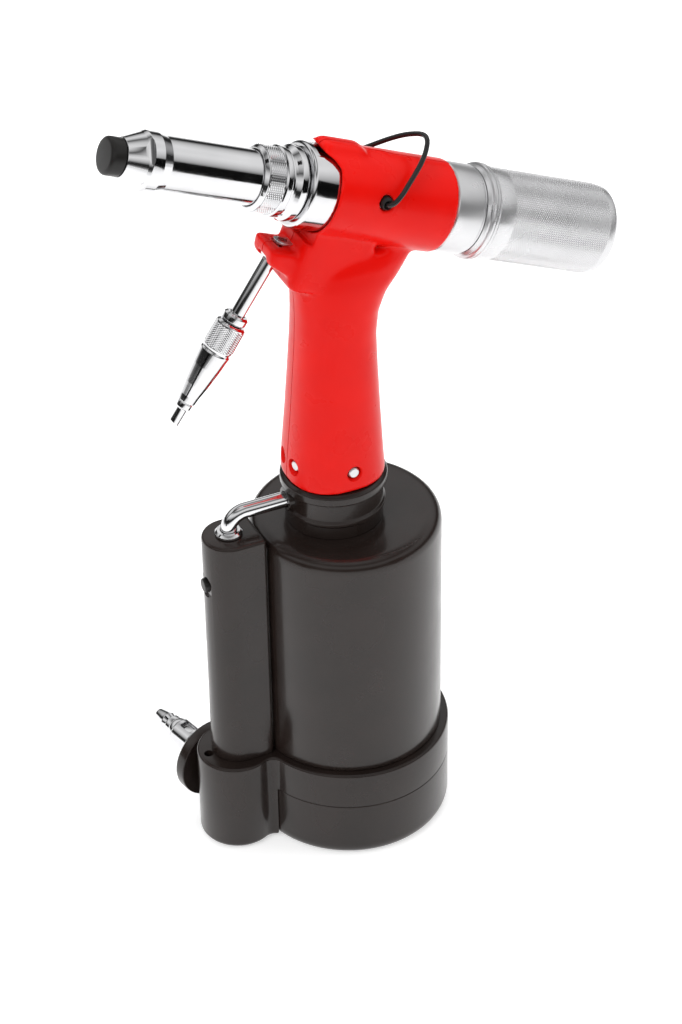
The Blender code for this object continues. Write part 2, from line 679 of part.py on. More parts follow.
def shell_tools():
    """The shapes joined to and cut from both handle shells."""
    grip = loft("grip_add", GRIP_SECTIONS, None)
    outline = boss_outline()
    half = BOSS_WIDTH / 2
    chamfers = [(*outline[0], 1.2)]
    boss = prism("boss_add", outline, -half, half, None, chamfers)
    plan = Vector(HEAD_ALONG)
    corner_tools = []
    for side in (-1, 1):
        origin = in_head(-22.0, -30.0, side * half)
        frame = frame_at(origin, HEAD_UP, plan - Vector((0, side, 0)))
        corner_tools.append(block(f"boss_corner_cut_{side + 1}", (-12, -12, -16), (3.2, 12, 9), frame, None))
    neck = block("head_neck_add", (-44, -NECK_HALF, -3.6), (-14, NECK_HALF, 24), HEAD_FRAME, None, 3.0)
    hood = block("hood_add", (14, -9, -13.5), (22.4, 9, 9), HEAD_FRAME, None, 2.5)
    ramp = block("hood_ramp_add", (10, -6.5, 0), (20.9, 6.5, 24), HEAD_FRAME, None, 1.5)
    bore = turned("barrel_bore_cut", rod_profile(SLEEVE_RADIUS + GAP, BARREL_START - 3, 90),
                  HEAD_FRAME, None, WIDE)
    front = turned("barrel_front_cut", rod_profile(FRONT_RADIUS + GAP, -60, BARREL_START - 0.2),
                   HEAD_FRAME, None, WIDE)
    tube_room = HYDRAULIC_RADIUS + 0.4
    stub_room = STUB_RADIUS + 0.4
    step = HYDRAULIC_TOP + GAP / 2
    tube = turned("tube_bore_cut",
                  solid_profile((tube_room, step - 46), (tube_room, step), (stub_room, step),
                                                 (stub_room, step + 24)), NECK_FRAME, None, ROUND)
    slot = prism("slot_cut", slot_outline(), -4.1, 4.1, None)
    axle = frame_at((PIVOT_X, 0, PIVOT_Z), (0, 1, 0), (1, 0, 0))
    pivot = turned("pivot_cut", rod_profile(PIN_RADIUS + GAP, -9.0, 9.0), axle, None, SMALL)
    pilot = turned("pilot_cut", rod_profile(1.9, 4.0, 13.0),
                   frame_at((PIVOT_X, 0, PIVOT_Z), (1, 0, 0), (0, 0, 1)), None, SMALL)
    ear = frame_at(in_head(BAIL_S, BAIL_R), (0, 1, 0), (1, 0, 0))
    ears = turned("grommet_cut", rod_profile(BALL_RADIUS + GAP, -40, 40), ear, None, SMALL)
    heads = []
    for side in (-1, 1):
        for number, frame in enumerate(screw_frames(side)):
            heads.append(turned(f"screw_head_cut_{side + 1}_{number}", rod_profile(3.0, 19.0, 30), frame,
                                None, SMALL))
    joined = [grip, boss, neck, hood, ramp]
    removed = [bore, front, grip_cavity(), tube, slot, pivot, pilot, ears, *corner_tools,
               *screw_holes("shell", 1.8), *heads]
    return joined, removed


def handle_shells():
    """The two halves of the red handle, parted along the middle plane."""
    joined, removed = shell_tools()
    edge = arc((BARREL_RADIUS - 1.2, BARREL_END - 1.2), 1.2, 0, 90, 2)
    barrel = solid_profile((BARREL_RADIUS, BARREL_START), *edge)
    for name, side in (("handle_shell_right", -1), ("handle_shell_left", 1)):
        shell = turned(name, barrel, HEAD_FRAME, RED, WIDE, 0.5)
        half = GAP / 2
        low = (-90, -half if side < 0 else -60, NECK_TOP - 12)
        high = (90, 60 if side < 0 else half, HEAD_HEIGHT + 68)
        other = block(name + "_half_cut", low, high, BASE_FRAME, None)
        join(shell, *joined)
        cut(shell, *removed, other)


def trigger():
    """The trigger lever: rod with its eye, collar, knurled grip and tip, all on the lever's axis."""
    eye_frame = frame_at((PIVOT_X, 0, PIVOT_Z), (0, 1, 0), (1, 0, 0))
    eye = turned("trigger_rod", ring_profile(PIN_RADIUS + GAP, EYE_RADIUS, -3.7, 3.7), eye_frame,
                 CHROME, SMALL)
    shaft_end = 54.0
    shaft = turned("lever_shaft_add", rod_profile(LEVER_RADIUS, 3.1, shaft_end), LEVER_FRAME, None, SMALL)
    join(eye, shaft)
    bore = LEVER_RADIUS + GAP
    start = 30.5
    turned("trigger_collar", [(bore, start), (4.6, start), (5.6, start + 1), (5.6, start + 3.4),
                              (4.8, start + 4.2), (bore, start + 4.2)], LEVER_FRAME, CHROME, SMALL)
    grip = start + 4.5
    turned("trigger_grip", [(bore, grip), (5.6, grip), (6.9, grip + 1), (6.9, grip + 12.5),
                            (6.4, grip + 13.5), (6.9, grip + 14.5), (6.3, grip + 22),
                            (5.2, grip + 31), (4.2, grip + 37),
                            (4.0, grip + 40), (0, grip + 40), (0, shaft_end + GAP), (bore, shaft_end + GAP)],
           LEVER_FRAME, CHROME, ROUND)
    tip = grip + 40 + GAP
    end = LEVER_LENGTH
    turned("trigger_tip", solid_profile((3.0, tip), (3.4, tip + 0.5), (3.4, tip + 2.6), (2.2, tip + 3.4),
                                        (2.2, end - 3), (0.8, end)), LEVER_FRAME, CHROME, SMALL)
    turned("trigger_pin", rod_profile(PIN_RADIUS, -8.7, 8.7, 0.3), eye_frame, STEEL, SMALL)
    pilot = frame_at((PIVOT_X, 0, PIVOT_Z), (1, 0, 0), (0, 0, 1))
    turned("pilot_pin", rod_profile(1.6, EYE_RADIUS + GAP, EYE_RADIUS + 2.9), pilot, STEEL, SMALL)
    plate = block("trigger_plate", (-26.7, -3.9, -17.4), (-25.5, 3.9, -4.0), HEAD_FRAME, STEEL, 0.0)
    hole = turned("plate_hole_cut", rod_profile(2.2, -40, -20),
                  frame_at(in_head(-13.4, 0), HEAD_UP, HEAD_ALONG), None, SMALL)
    cut(plate, hole)


def bail_points():
    """The bail's route: a pointed arch from one side of the head to the other."""
    lean = math.radians(BAIL_LEAN)
    out = [(0.0, -2.3), (0.0, 0.2), (0.9, 1.5), (3.2, 2.1), (7.5, 0.8), (12.0, -1.7), (17.0, -4.5),
           (21.5, -7.4), (25.3, -10.5), (28.4, -13.7), (30.6, -16.9)]
    half = [(t, BARREL_RADIUS + y) for t, y in out]
    path = half + [(BAIL_REACH, 0.0)] + [(t, -y) for t, y in reversed(half)]
    return [in_head(BAIL_S + t * math.cos(lean), BAIL_R + t * math.sin(lean), -y) for t, y in path]


def bail():
    """The hanging wire and the two ball grommets that it turns in."""
    wire("bail_wire", bail_points(), BAIL_WIRE, RUBBER, resolution=2)
    for name, side in (("bail_grommet_right", -1), ("bail_grommet_left", 1)):
        frame = frame_at(in_head(BAIL_S, BAIL_R), (0, side, 0), (1, 0, 0))
        inner = BAIL_WIRE + GAP
        face = BARREL_RADIUS
        start = SLEEVE_RADIUS + 0.4
        turned(name, [(inner, start), (BALL_RADIUS, start), (BALL_RADIUS, face - 0.7),
                      (BALL_RADIUS - 0.5, face + 0.3), (inner + 0.7, face + 0.6),
                      (inner, face - 0.3)], frame, RUBBER, SMALL)


# ---------------------------------------------------------------- head

def head_cylinder():
    """The pressure cylinder: polished front, sleeve inside the handle and the hydraulic port."""
    rim = arc((FRONT_RADIUS - 1.5, HEAD_FRONT + 1.5), 1.5, -90, 0, 3)
    socket = 10.3
    profile = [(ROD_RADIUS + GAP, HEAD_FRONT + 6), (socket, HEAD_FRONT + 6), (socket, HEAD_FRONT), *rim,
               (FRONT_RADIUS, BARREL_START - 0.6), (SLEEVE_RADIUS, BARREL_START - 0.6),
               (SLEEVE_RADIUS, BARREL_END), (PRESSURE_BORE, BARREL_END), (PRESSURE_BORE, PRESSURE_START),
               (ROD_RADIUS + GAP, PRESSURE_START)]
    body = turned("head_cylinder", profile, HEAD_FRAME, CHROME, WIDE)
    stub = turned("stub_add", rod_profile(STUB_RADIUS, HYDRAULIC_TOP + GAP, HYDRAULIC_TOP + 12.5),
                  NECK_FRAME, None, ROUND)
    middle = (PRESSURE_BORE + SLEEVE_RADIUS) / 2
    bore = turned("stub_bore_cut", rod_profile(middle, -30, BARREL_END), HEAD_FRAME, None, WIDE)
    port = turned("port_bore_cut", rod_profile(2.6, HYDRAULIC_TOP - 5, HYDRAULIC_TOP + 16),
                  frame_at((-8.4, 0, 0)), None, SMALL)
    flat = block("head_flat_cut", (16.2, -12, -16.5), (25, 12, 0.5), HEAD_FRAME, None)
    pocket = block("head_pocket_cut", (14.9, -3.2, -13.0), (25, 3.2, -3.0), HEAD_FRAME, None)
    cut(stub, bore)
    join(body, stub)
    cut(body, port, flat, pocket)


def nose():
    """The nose: housing, lock nut, nosepiece and the rubber cap over it."""
    rear = HEAD_FRONT + 6 - GAP
    shoulder = NOSE_FRONT + 9.5
    profile = [(4.9, NOSE_FRONT + 11.5), (4.9, NOSE_FRONT), (8.3, NOSE_FRONT), (11.6, shoulder - 1.5),
               (NOSE_SHOULDER_RADIUS, shoulder), (NOSE_SHOULDER_RADIUS, shoulder + 5),
               (NOSE_RADIUS, shoulder + 9), (NOSE_RADIUS, HEAD_FRONT - GAP), (10.0, HEAD_FRONT - GAP),
               (10.0, rear), (NOSE_BORE, rear), (NOSE_BORE, NOSE_FRONT + 12.5), (6.0, NOSE_FRONT + 11.5)]
    housing = turned("nose_housing", profile, HEAD_FRAME, CHROME, ROUND)
    flats = []
    for number in range(4):
        turn = Matrix.Rotation(math.radians(45 + 90 * number), 4, "Z")
        flats.append(block(f"nose_flat_cut_{number}", (9.3, -12, NOSE_FRONT - 1), (20, 12, shoulder + 2.5),
                           HEAD_FRAME @ turn, None))
    cut(housing, *flats)
    inner = NOSE_RADIUS + GAP
    low = HEAD_FRONT - 20.3
    high = HEAD_FRONT - GAP
    turned("lock_nut", [(inner, low), (12.6, low), (13.6, low + 1.6), (14.4, low + 1.9), (14.4, low + 6.6),
                        (13.8, low + 7.0), (14.8, low + 8.5), (14.8, low + 12.0), (13.6, low + 13.0),
                        (14.6, low + 14.4), (16.0, low + 16.0), (16.0, high - 1.2), (15.0, high),
                        (inner, high)], HEAD_FRAME, CHROME, ROUND)
    front = NOSE_FRONT - 4.6
    turned("nosepiece", [(2.1, front), (5.4, front), (6.0, front + 0.8), (6.0, NOSE_FRONT - GAP),
                         (4.6, NOSE_FRONT - GAP), (4.6, NOSE_FRONT + 10.5), (2.1, NOSE_FRONT + 10.5)],
           HEAD_FRAME, STEEL, SMALL)
    lip = NOSE_FRONT - GAP
    edge = arc((CAP_RADIUS - 1.55, CAP_FRONT + 1.2), 1.2, -90, 0, 3)
    turned("nose_cap", [(0, CAP_FRONT), *edge, (CAP_RADIUS, lip), (6.4, lip), (6.4, front - GAP),
                        (0, front - GAP)], HEAD_FRAME, RUBBER, ROUND)


def jaws():
    """The pulling train in the nose: jaw case, three jaws, their pusher and its spring."""
    front = NOSE_FRONT + 13.2
    case = NOSE_BORE - GAP
    mouth = 4.2
    cone_end = front + 12.0
    cone = 7.6
    turned("jaw_case", [(mouth, front), (case - 1, front), (case, front + 1), (case, -46.0),
                        (ROD_RADIUS + GAP, -46.0), (ROD_RADIUS + GAP, -52.0), (cone, -54.0),
                        (cone, cone_end)],
           HEAD_FRAME, STEEL, SMALL)
    jaw_front = front + 0.5
    jaw_rear = jaw_front + JAW_LENGTH
    slope = (cone - mouth) / (cone_end - front)
    for number in range(3):
        small = mouth + slope * 0.5 - 0.35
        large = mouth + slope * (0.5 + JAW_LENGTH) - 0.35
        turn = Matrix.Rotation(math.radians(120 * number), 4, "Z")
        jaw = turned(f"jaw_{number + 1}", [(1.3, jaw_front), (small, jaw_front), (large, jaw_rear),
                                           (1.3, jaw_rear)], HEAD_FRAME @ turn, STEEL, ROUND)
        for side in (-1, 1):
            swing = HEAD_FRAME @ turn @ Matrix.Rotation(math.radians(58 * side), 4, "Z")
            wedge = block(f"jaw_{number + 1}_cut_{side + 1}", (-20, 0, jaw_front - 5),
                          (20, 20 * side, jaw_rear + 5), swing, None)
            cut(jaw, wedge)
    pusher = jaw_rear + GAP
    turned("jaw_pusher", [(1.6, pusher), (5.6, pusher), (7.2, pusher + 1.5), (7.2, pusher + 4.5),
                          (4.0, pusher + 4.5), (4.0, pusher + 8.0), (1.6, pusher + 8.0)],
           HEAD_FRAME, STEEL, SMALL)
    coil("jaw_spring", 5.6, 0.6, pusher + 4.5 + GAP, ROD_FRONT - GAP, 4, HEAD_FRAME, STEEL)


def draw_rod():
    """The head piston with its rod, seal and return spring, and the tube for spent mandrels."""
    start = HEAD_PISTON_START
    end = start + HEAD_PISTON_THICKNESS
    radius = PRESSURE_BORE - GAP
    groove = start + 2.6
    depth = 2.2
    turned("draw_piston", [(MANDREL_BORE, ROD_FRONT), (ROD_RADIUS, ROD_FRONT), (ROD_RADIUS, start),
                           (radius - 1.5, start), (radius, start + 1.5), (radius, groove),
                           (radius - depth, groove), (radius - depth, groove + depth),
                           (radius, groove + depth), (radius, end), (MANDREL_BORE, end)],
           HEAD_FRAME, STEEL, ROUND)
    seal = 0.95
    turned("draw_piston_seal", seal_profile(radius - seal, groove + depth / 2, seal), HEAD_FRAME,
           RUBBER, ROUND)
    turned("mandrel_tube", ring_profile(MANDREL_BORE, 4.2, end + GAP, 64.0), HEAD_FRAME, STEEL, SMALL)
    coil("head_spring", 10.0, 1.1, end + GAP, 45.4, 6, HEAD_FRAME, STEEL)


def rear():
    """The rear of the head: screwed gland with its seal, collector ring and mandrel collector."""
    spigot = PRESSURE_BORE - GAP
    start = BARREL_END + GAP
    low = 45.8
    bore = 4.8
    groove = low + 1.8
    turned("rear_gland", [(bore, low), (spigot, low), (spigot, groove), (spigot - 2.2, groove),
                          (spigot - 2.2, groove + 2.2), (spigot, groove + 2.2), (spigot, start),
                          (GLAND_RADIUS - 0.8, start), (GLAND_RADIUS, start + 0.8),
                          (GLAND_RADIUS, GLAND_END - 1.6), (GLAND_RADIUS - 0.8, GLAND_END - 0.8),
                          (GLAND_RADIUS - 0.8, GLAND_END), (bore, GLAND_END)], HEAD_FRAME, SATIN, WIDE)
    turned("gland_seal", seal_profile(spigot - 0.95, groove + 1.1, 0.95), HEAD_FRAME, RUBBER, ROUND)
    ring = GLAND_END + GAP
    inner = COLLECTOR_RADIUS - COLLECTOR_WALL - GAP
    turned("collector_ring", [(bore, ring), (RING_RADIUS - 2, ring), (RING_RADIUS - 1.2, ring + 1.2),
                              (RING_RADIUS - 1.2, ring + 2.2), (RING_RADIUS, ring + 3.0),
                              (RING_RADIUS, RING_END - 0.6), (RING_RADIUS - 0.6, RING_END),
                              (inner, RING_END), (inner, RING_END + 6.5), (bore, RING_END + 6.5)],
           HEAD_FRAME, CHROME, WIDE)
    mouth = RING_END + GAP
    edge = arc((COLLECTOR_END_RADIUS - 4.0, COLLECTOR_END - 4.0), 4.0, 0, 90, 4)
    hollow = COLLECTOR_RADIUS - COLLECTOR_WALL
    floor = COLLECTOR_END - 4.0
    turned("mandrel_collector", [(hollow, mouth), (COLLECTOR_RADIUS, mouth), (COLLECTOR_RADIUS, mouth + 8),
                                 *edge, (0, COLLECTOR_END), (0, floor), (hollow - 0.8, floor)],
           HEAD_FRAME, SATIN, WIDE)


def build():
    """Make every piece of the tool."""
    start_clean()
    bottom_cap()
    base_housing()
    air_cylinder()
    valve()
    inlet()
    air_piston()
    neck()
    transfer_tube()
    shell_screws()
    handle_shells()
    trigger()
    bail()
    head_cylinder()
    nose()
    jaws()
    draw_rod()
    rear()


build()
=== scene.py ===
"""Looks of an air-hydraulic hand riveter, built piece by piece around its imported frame."""

import json
import logging
import math
from dataclasses import dataclass, field
from enum import Enum
from typing import Sequence

import bmesh
import bpy
from mathutils import Matrix, Vector


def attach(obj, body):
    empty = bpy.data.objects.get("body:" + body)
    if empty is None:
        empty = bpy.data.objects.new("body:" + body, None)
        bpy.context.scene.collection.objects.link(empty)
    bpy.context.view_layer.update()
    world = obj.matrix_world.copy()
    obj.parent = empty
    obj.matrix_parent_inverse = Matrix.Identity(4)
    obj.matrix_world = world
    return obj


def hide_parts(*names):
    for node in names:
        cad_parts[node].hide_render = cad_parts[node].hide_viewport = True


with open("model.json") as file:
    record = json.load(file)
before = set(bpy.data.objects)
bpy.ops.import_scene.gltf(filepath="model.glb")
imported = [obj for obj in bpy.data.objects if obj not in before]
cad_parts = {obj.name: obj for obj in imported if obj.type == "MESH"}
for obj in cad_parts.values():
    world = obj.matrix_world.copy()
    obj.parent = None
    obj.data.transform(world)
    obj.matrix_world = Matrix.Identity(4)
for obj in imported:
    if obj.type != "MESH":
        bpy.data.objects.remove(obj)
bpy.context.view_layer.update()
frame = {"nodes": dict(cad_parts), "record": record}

LOG = logging.getLogger("riveter")
MM = 0.001
MERGE = 2e-6              # metres, between points that are the same point
STRAIGHT = 1e-5           # radians; a wire's smaller bends are left out
TURN = 2.0 * math.pi
FINE, ROUND, SMALL, TINY = 160, 128, 64, 48        # sides of a full circle, by its size
CUT_EDGE = 28.0           # degrees; sharper edges stay crisp on pieces with Boolean cuts
PISTON_BORE = 39.2        # millimetres
VALVE_BORE = 6.3          # millimetres
X_AXIS, Y_AXIS, Z_AXIS = Vector((1, 0, 0)), Vector((0, 1, 0)), Vector((0, 0, 1))
Point = tuple[float, ...]
Piece = bpy.types.Object


class Side(Enum):
    """The two sides of the tool, by the sign of their Y."""

    RIGHT = -1
    LEFT = 1


class Cut(Enum):
    """What a Boolean does with its second shape."""

    AWAY = "DIFFERENCE"
    ON = "UNION"


# ---------------------------------------------------------------- places

def placed(origin: Vector, along: Vector, up: Vector) -> Matrix:
    """Make a placement from an axis.

    Args:
        origin: where local zero goes, in metres.
        along: where local Z points.
        up: roughly where local X points.

    Returns:
        The placement as a 4 by 4 matrix.
    """
    z = along.normalized()
    x = (up - z * up.dot(z)).normalized()
    y = z.cross(x)
    place = Matrix((x, y, z)).transposed().to_4x4()
    place.translation = origin
    return place


@dataclass(frozen=True)
class Places:
    """The tool's own axes, in metres, shared by its sub-assemblies."""

    tilt: float = math.radians(22.45)
    head_origin: Vector = field(default_factory=lambda: Vector((-4.4, 0.0, 332.5)) * MM)
    neck_x: float = -5.4 * MM
    valve_x: float = -56.5 * MM
    block_x: float = -57.8 * MM
    inlet_height: float = 29.3 * MM
    inlet_turn: float = math.radians(105.0)
    pivot: Vector = field(default_factory=lambda: Vector((-31.0, 0.0, 308.8)) * MM)
    lean: float = math.radians(34.1)

    @property
    def along(self) -> Vector:
        """The head's axis, towards the mandrel collector."""
        return Vector((math.cos(self.tilt), 0.0, -math.sin(self.tilt)))

    @property
    def up(self) -> Vector:
        """Straight up from the head, square to its axis."""
        return Vector((math.sin(self.tilt), 0.0, math.cos(self.tilt)))

    def head(self) -> Matrix:
        """The head's placement: local Z along it, local X up."""
        return placed(self.head_origin, self.along, self.up)

    def in_head(self, s: float, r: float, y: float = 0.0) -> Vector:
        """A point given along and above the head's axis, in millimetres."""
        return self.head_origin + (self.along * s + self.up * r) * MM + Vector((0.0, y * MM, 0.0))

    def upright(self, x: float = 0.0) -> Matrix:
        """An upright placement over a point of the X axis."""
        return Matrix.Translation((x, 0.0, 0.0))

    def across(self) -> Matrix:
        """A placement at zero with local Z across the tool, so that local Y points down."""
        return placed(Vector(), Y_AXIS, X_AXIS)

    def lever(self) -> Matrix:
        """The trigger lever's placement: local Z down the lever from its pivot."""
        down = Vector((-math.sin(self.lean), 0.0, -math.cos(self.lean)))
        return placed(self.pivot, down, Y_AXIS)

    def inlet(self) -> Matrix:
        """The air inlet's placement: local Z out of the side block, local X up."""
        out = Vector((math.cos(self.inlet_turn), math.sin(self.inlet_turn), 0.0))
        origin = Vector((self.block_x, 0.0, self.inlet_height))
        return placed(origin, out, Z_AXIS)


PLACES = Places()


# ---------------------------------------------------------------- modelling

def only(obj: Piece) -> None:
    """Make one object the only selected and the active one."""
    bpy.ops.object.select_all(action="DESELECT")
    obj.select_set(True)
    bpy.context.view_layer.objects.active = obj


def edit(obj: Piece, mode: str = "VERT") -> None:
    """Enter edit mode on one object with everything selected."""
    only(obj)
    bpy.ops.object.mode_set(mode="EDIT")
    bpy.ops.mesh.select_mode(type=mode)
    pick()


def pick(action: str = "SELECT") -> None:
    """Select the whole mesh in edit mode, or with DESELECT nothing of it."""
    bpy.ops.mesh.select_all(action=action)


def done() -> None:
    """Leave edit mode."""
    bpy.ops.object.mode_set(mode="OBJECT")


def close_up() -> None:
    """Point all faces of the mesh in edit mode outwards, and leave edit mode."""
    pick()
    bpy.ops.mesh.normals_make_consistent(inside=False)
    done()


def settle(obj: Piece, place: Matrix) -> Piece:
    """Put a finished shape in its place and apply that place to its mesh."""
    only(obj)
    obj.matrix_world = place
    bpy.ops.object.transform_apply(location=True, rotation=True, scale=True)
    return obj


def smooth(obj: Piece, degrees: float = 32.0) -> Piece:
    """Shade smooth, with edges over an angle kept sharp."""
    only(obj)
    bpy.ops.object.shade_smooth_by_angle(angle=math.radians(degrees))
    return obj


def arc(centre: Point, radius: float, start: float, end: float, count: int) -> list[Point]:
    """Points on an arc between two angles in degrees."""
    angles = [math.radians(start + (end - start) * k / count) for k in range(count + 1)]
    return [(centre[0] + radius * math.cos(a), centre[1] + radius * math.sin(a)) for a in angles]


def rounded(points: Sequence[Point], closed: bool = False, count: int = 5) -> list[Point]:
    """Round the corners of an outline.

    Args:
        points: corners, each two numbers and, where it is rounded, its radius.
        closed: whether the last corner joins the first.
        count: how many edges a rounded corner gets.

    Returns:
        The outline's points.
    """
    result = []
    total = len(points)
    for index, point in enumerate(points):
        radius = point[2] if len(point) > 2 else 0.0
        ends = index in (0, total - 1)
        if radius <= 0 or (ends and not closed):
            result.append((point[0], point[1]))
            continue
        here = Vector(point[:2])
        back = Vector(points[index - 1][:2]) - here
        ahead = Vector(points[(index + 1) % total][:2]) - here
        half = back.angle(ahead) / 2.0
        reach = min(radius / math.tan(half), 0.49 * back.length, 0.49 * ahead.length)
        start = here + back.normalized() * reach
        end = here + ahead.normalized() * reach
        for k in range(count + 1):
            t = k / count
            spot = start.lerp(here, t).lerp(here.lerp(end, t), t)
            result.append((spot.x, spot.y))
    return result


def thread(name: str, points: Sequence[Sequence[float]], closed: bool = False) -> Piece:
    """Draw a chain of edges by extruding one vertex from point to point.

    Args:
        name: the new object's name.
        points: places in millimetres, two numbers for X and Z or three.
        closed: whether the last point joins the first.

    Returns:
        The new object, which has only edges.
    """
    spots = [Vector((p[0], 0.0, p[1])) if len(p) == 2 else Vector(p) for p in points]
    spots = [spot * MM for spot in spots]
    if closed:
        spots.append(spots[0])
    bpy.ops.object.select_all(action="DESELECT")
    bpy.ops.mesh.primitive_plane_add(size=MM, location=(0, 0, 0))
    obj = bpy.context.object
    obj.name = name
    edit(obj)
    bpy.ops.mesh.merge(type="CENTER")
    pick()
    bpy.ops.transform.translate(value=spots[0])
    for before, after in zip(spots, spots[1:]):
        bpy.ops.mesh.extrude_vertices_move(TRANSFORM_OT_translate={"value": after - before})
    pick()
    bpy.ops.mesh.remove_doubles(threshold=MERGE)
    done()
    return obj


def spun(name: str, points: Sequence[Point], steps: int, closed: bool) -> Piece:
    """Spin a chain of points about Z into a skin with nothing selected."""
    obj = thread(name, points, closed)
    edit(obj)
    bpy.ops.mesh.spin(steps=steps, angle=TURN, center=(0, 0, 0), axis=(0, 0, 1))
    pick()
    bpy.ops.mesh.remove_doubles(threshold=MERGE)
    bpy.ops.mesh.normals_make_consistent(inside=False)
    pick("DESELECT")
    done()
    return obj


def turned(name: str, outline: Sequence[Point], place: Matrix, steps: int = 96, closed: bool = True,
           degrees: float = 32.0, count: int = 5) -> Piece:
    """Spin an outline about local Z.

    Args:
        name: the new object's name.
        outline: radius, height and, where a corner is rounded, its radius, in millimetres.
        place: the finished piece's placement.
        steps: how many sides the round has.
        closed: whether the outline is a ring; an open one starts and ends on the axis.
        degrees: edges over this angle stay sharp.
        count: how many edges a rounded corner gets.

    Returns:
        The finished piece.
    """
    obj = spun(name, rounded(outline, closed, count), steps, closed)
    settle(obj, place)
    return smooth(obj, degrees)


def rod(name: str, radius: float, low: float, high: float, place: Matrix, steps: int = 48,
        edge: float = 0.0) -> Piece:
    """A solid round bar, such as a cutter's."""
    outline = [(0, low), (radius, low, edge), (radius, high, edge), (0, high)]
    return turned(name, outline, place, steps, closed=False)


def plate(name: str, outline: Sequence[Point], low: float, high: float, place: Matrix,
          top: float = 0.0, foot: float = 0.0, segments: int = 4) -> Piece:
    """Fill an outline in the local X-Y plane, raise it, and round its top and foot edges.

    Args:
        name: the new object's name.
        outline: the corners' X and Y in millimetres, anticlockwise.
        low: the foot's height.
        high: the top's height.
        place: the finished piece's placement.
        top: the top edge's rounding.
        foot: the foot edge's rounding.
        segments: how many edges the rounding gets.

    Returns:
        The finished piece.
    """
    obj = thread(name, [(x, y, low) for x, y in outline], closed=True)
    edit(obj, "EDGE")
    bpy.ops.mesh.edge_face_add()
    bpy.ops.mesh.select_mode(type="FACE")
    pick()
    bpy.ops.mesh.extrude_region_move(TRANSFORM_OT_translate={"value": (0, 0, (high - low) * MM)})
    close_up()
    for height, offset in ((high, top), (low, foot)):
        if offset <= 0:
            continue
        edit(obj, "FACE")
        pick("DESELECT")
        done()
        for face in obj.data.polygons:
            face.select = abs(face.center.z - height * MM) < MERGE and abs(face.normal.z) > 0.9
        bpy.ops.object.mode_set(mode="EDIT")
        bpy.ops.mesh.region_to_loop()
        bpy.ops.mesh.bevel(offset=offset * MM, segments=segments, profile=0.5, affect="EDGES",
                           clamp_overlap=False)
        done()
    settle(obj, place)
    return smooth(obj)


def box(name: str, low: Point, high: Point, place: Matrix, edge: float = 0.0,
        segments: int = 3) -> Piece:
    """A block between two corners in millimetres, with its edges rounded."""
    bpy.ops.object.select_all(action="DESELECT")
    middle = (Vector(low) + Vector(high)) * (MM / 2)
    size = (Vector(high) - Vector(low)) * MM
    bpy.ops.mesh.primitive_cube_add(size=1.0, location=middle, scale=size)
    obj = bpy.context.object
    obj.name = name
    bpy.ops.object.transform_apply(location=True, rotation=True, scale=True)
    if edge > 0:
        edit(obj, "EDGE")
        bpy.ops.mesh.bevel(offset=edge * MM, segments=segments, profile=0.5, affect="EDGES")
        done()
    settle(obj, place)
    return smooth(obj)


def modify(obj: Piece, kind: str, **settings: object) -> None:
    """Add a modifier with its settings and apply it."""
    only(obj)
    bpy.ops.object.modifier_add(type=kind)
    modifier = obj.modifiers[-1]
    for key, value in settings.items():
        setattr(modifier, key, value)
    bpy.ops.object.modifier_apply(modifier=modifier.name)


def combine(obj: Piece, cut: Cut, *tools: Piece) -> Piece:
    """Join shapes to a piece, or cut them from it, and drop them."""
    for tool in tools:
        modify(obj, "BOOLEAN", operation=cut.value, solver="EXACT", object=tool)
        bpy.data.objects.remove(tool)
    return obj


def resculpt(obj: Piece, voxel: float, passes: int, factor: float = 0.5) -> Piece:
    """Melt a piece's shapes into one skin and soften it.

    Args:
        obj: the piece.
        voxel: the skin's pitch in millimetres.
        passes: how often the skin is smoothed.
        factor: how strong each pass is.

    Returns:
        The same piece.
    """
    modify(obj, "REMESH", mode="VOXEL", voxel_size=voxel * MM)
    if passes:
        modify(obj, "SMOOTH", factor=factor, iterations=passes)
    return obj


def knurled(name: str, radius: float, low: float, high: float, inner: float, pitch: float, depth: float,
            place: Matrix) -> Piece:
    """Turn a sleeve whose outside is cut into fine diamonds.

    Args:
        name: the new object's name.
        radius: over the diamonds' points, in millimetres.
        low: where the sleeve starts.
        high: where it ends.
        inner: the sleeve's inside radius.
        pitch: from one point to the next, round and along.
        depth: how deep the grooves are.
        place: the finished piece's placement.

    Returns:
        The finished sleeve.
    """
    columns = 2 * round(math.pi * radius / pitch)
    rows = 2 * round((high - low) / pitch)
    step = (high - low) / rows
    outline = [(inner, low)] + [(radius, low + k * step) for k in range(rows + 1)] + [(inner, high)]
    obj = spun(name, outline, columns, closed=True)
    for vertex in obj.data.vertices:
        x, y, z = vertex.co / MM
        outside = math.hypot(x, y) > (radius + inner) / 2
        row = round((z - low) / step)
        column = round(math.atan2(y, x) / TURN * columns)
        vertex.select = outside and ((row + column) % 2 == 1 or row in (0, rows))
    bpy.ops.object.mode_set(mode="EDIT")
    bpy.ops.mesh.select_mode(type="VERT")
    shrink = (radius - depth) / radius
    bpy.ops.transform.resize(value=(shrink, shrink, 1.0), center_override=(0, 0, 0))
    pick()
    bpy.ops.mesh.quads_convert_to_tris(quad_method="SHORTEST_DIAGONAL")
    done()
    settle(obj, place)
    return smooth(obj, 18.0)


def merged(name: str, *parts: Piece) -> Piece:
    """Make several meshes one piece without melting them together."""
    bpy.ops.object.select_all(action="DESELECT")
    for part in parts:
        part.select_set(True)
    bpy.context.view_layer.objects.active = parts[0]
    bpy.ops.object.join()
    parts[0].name = name
    return parts[0]


# ---------------------------------------------------------------- finishes

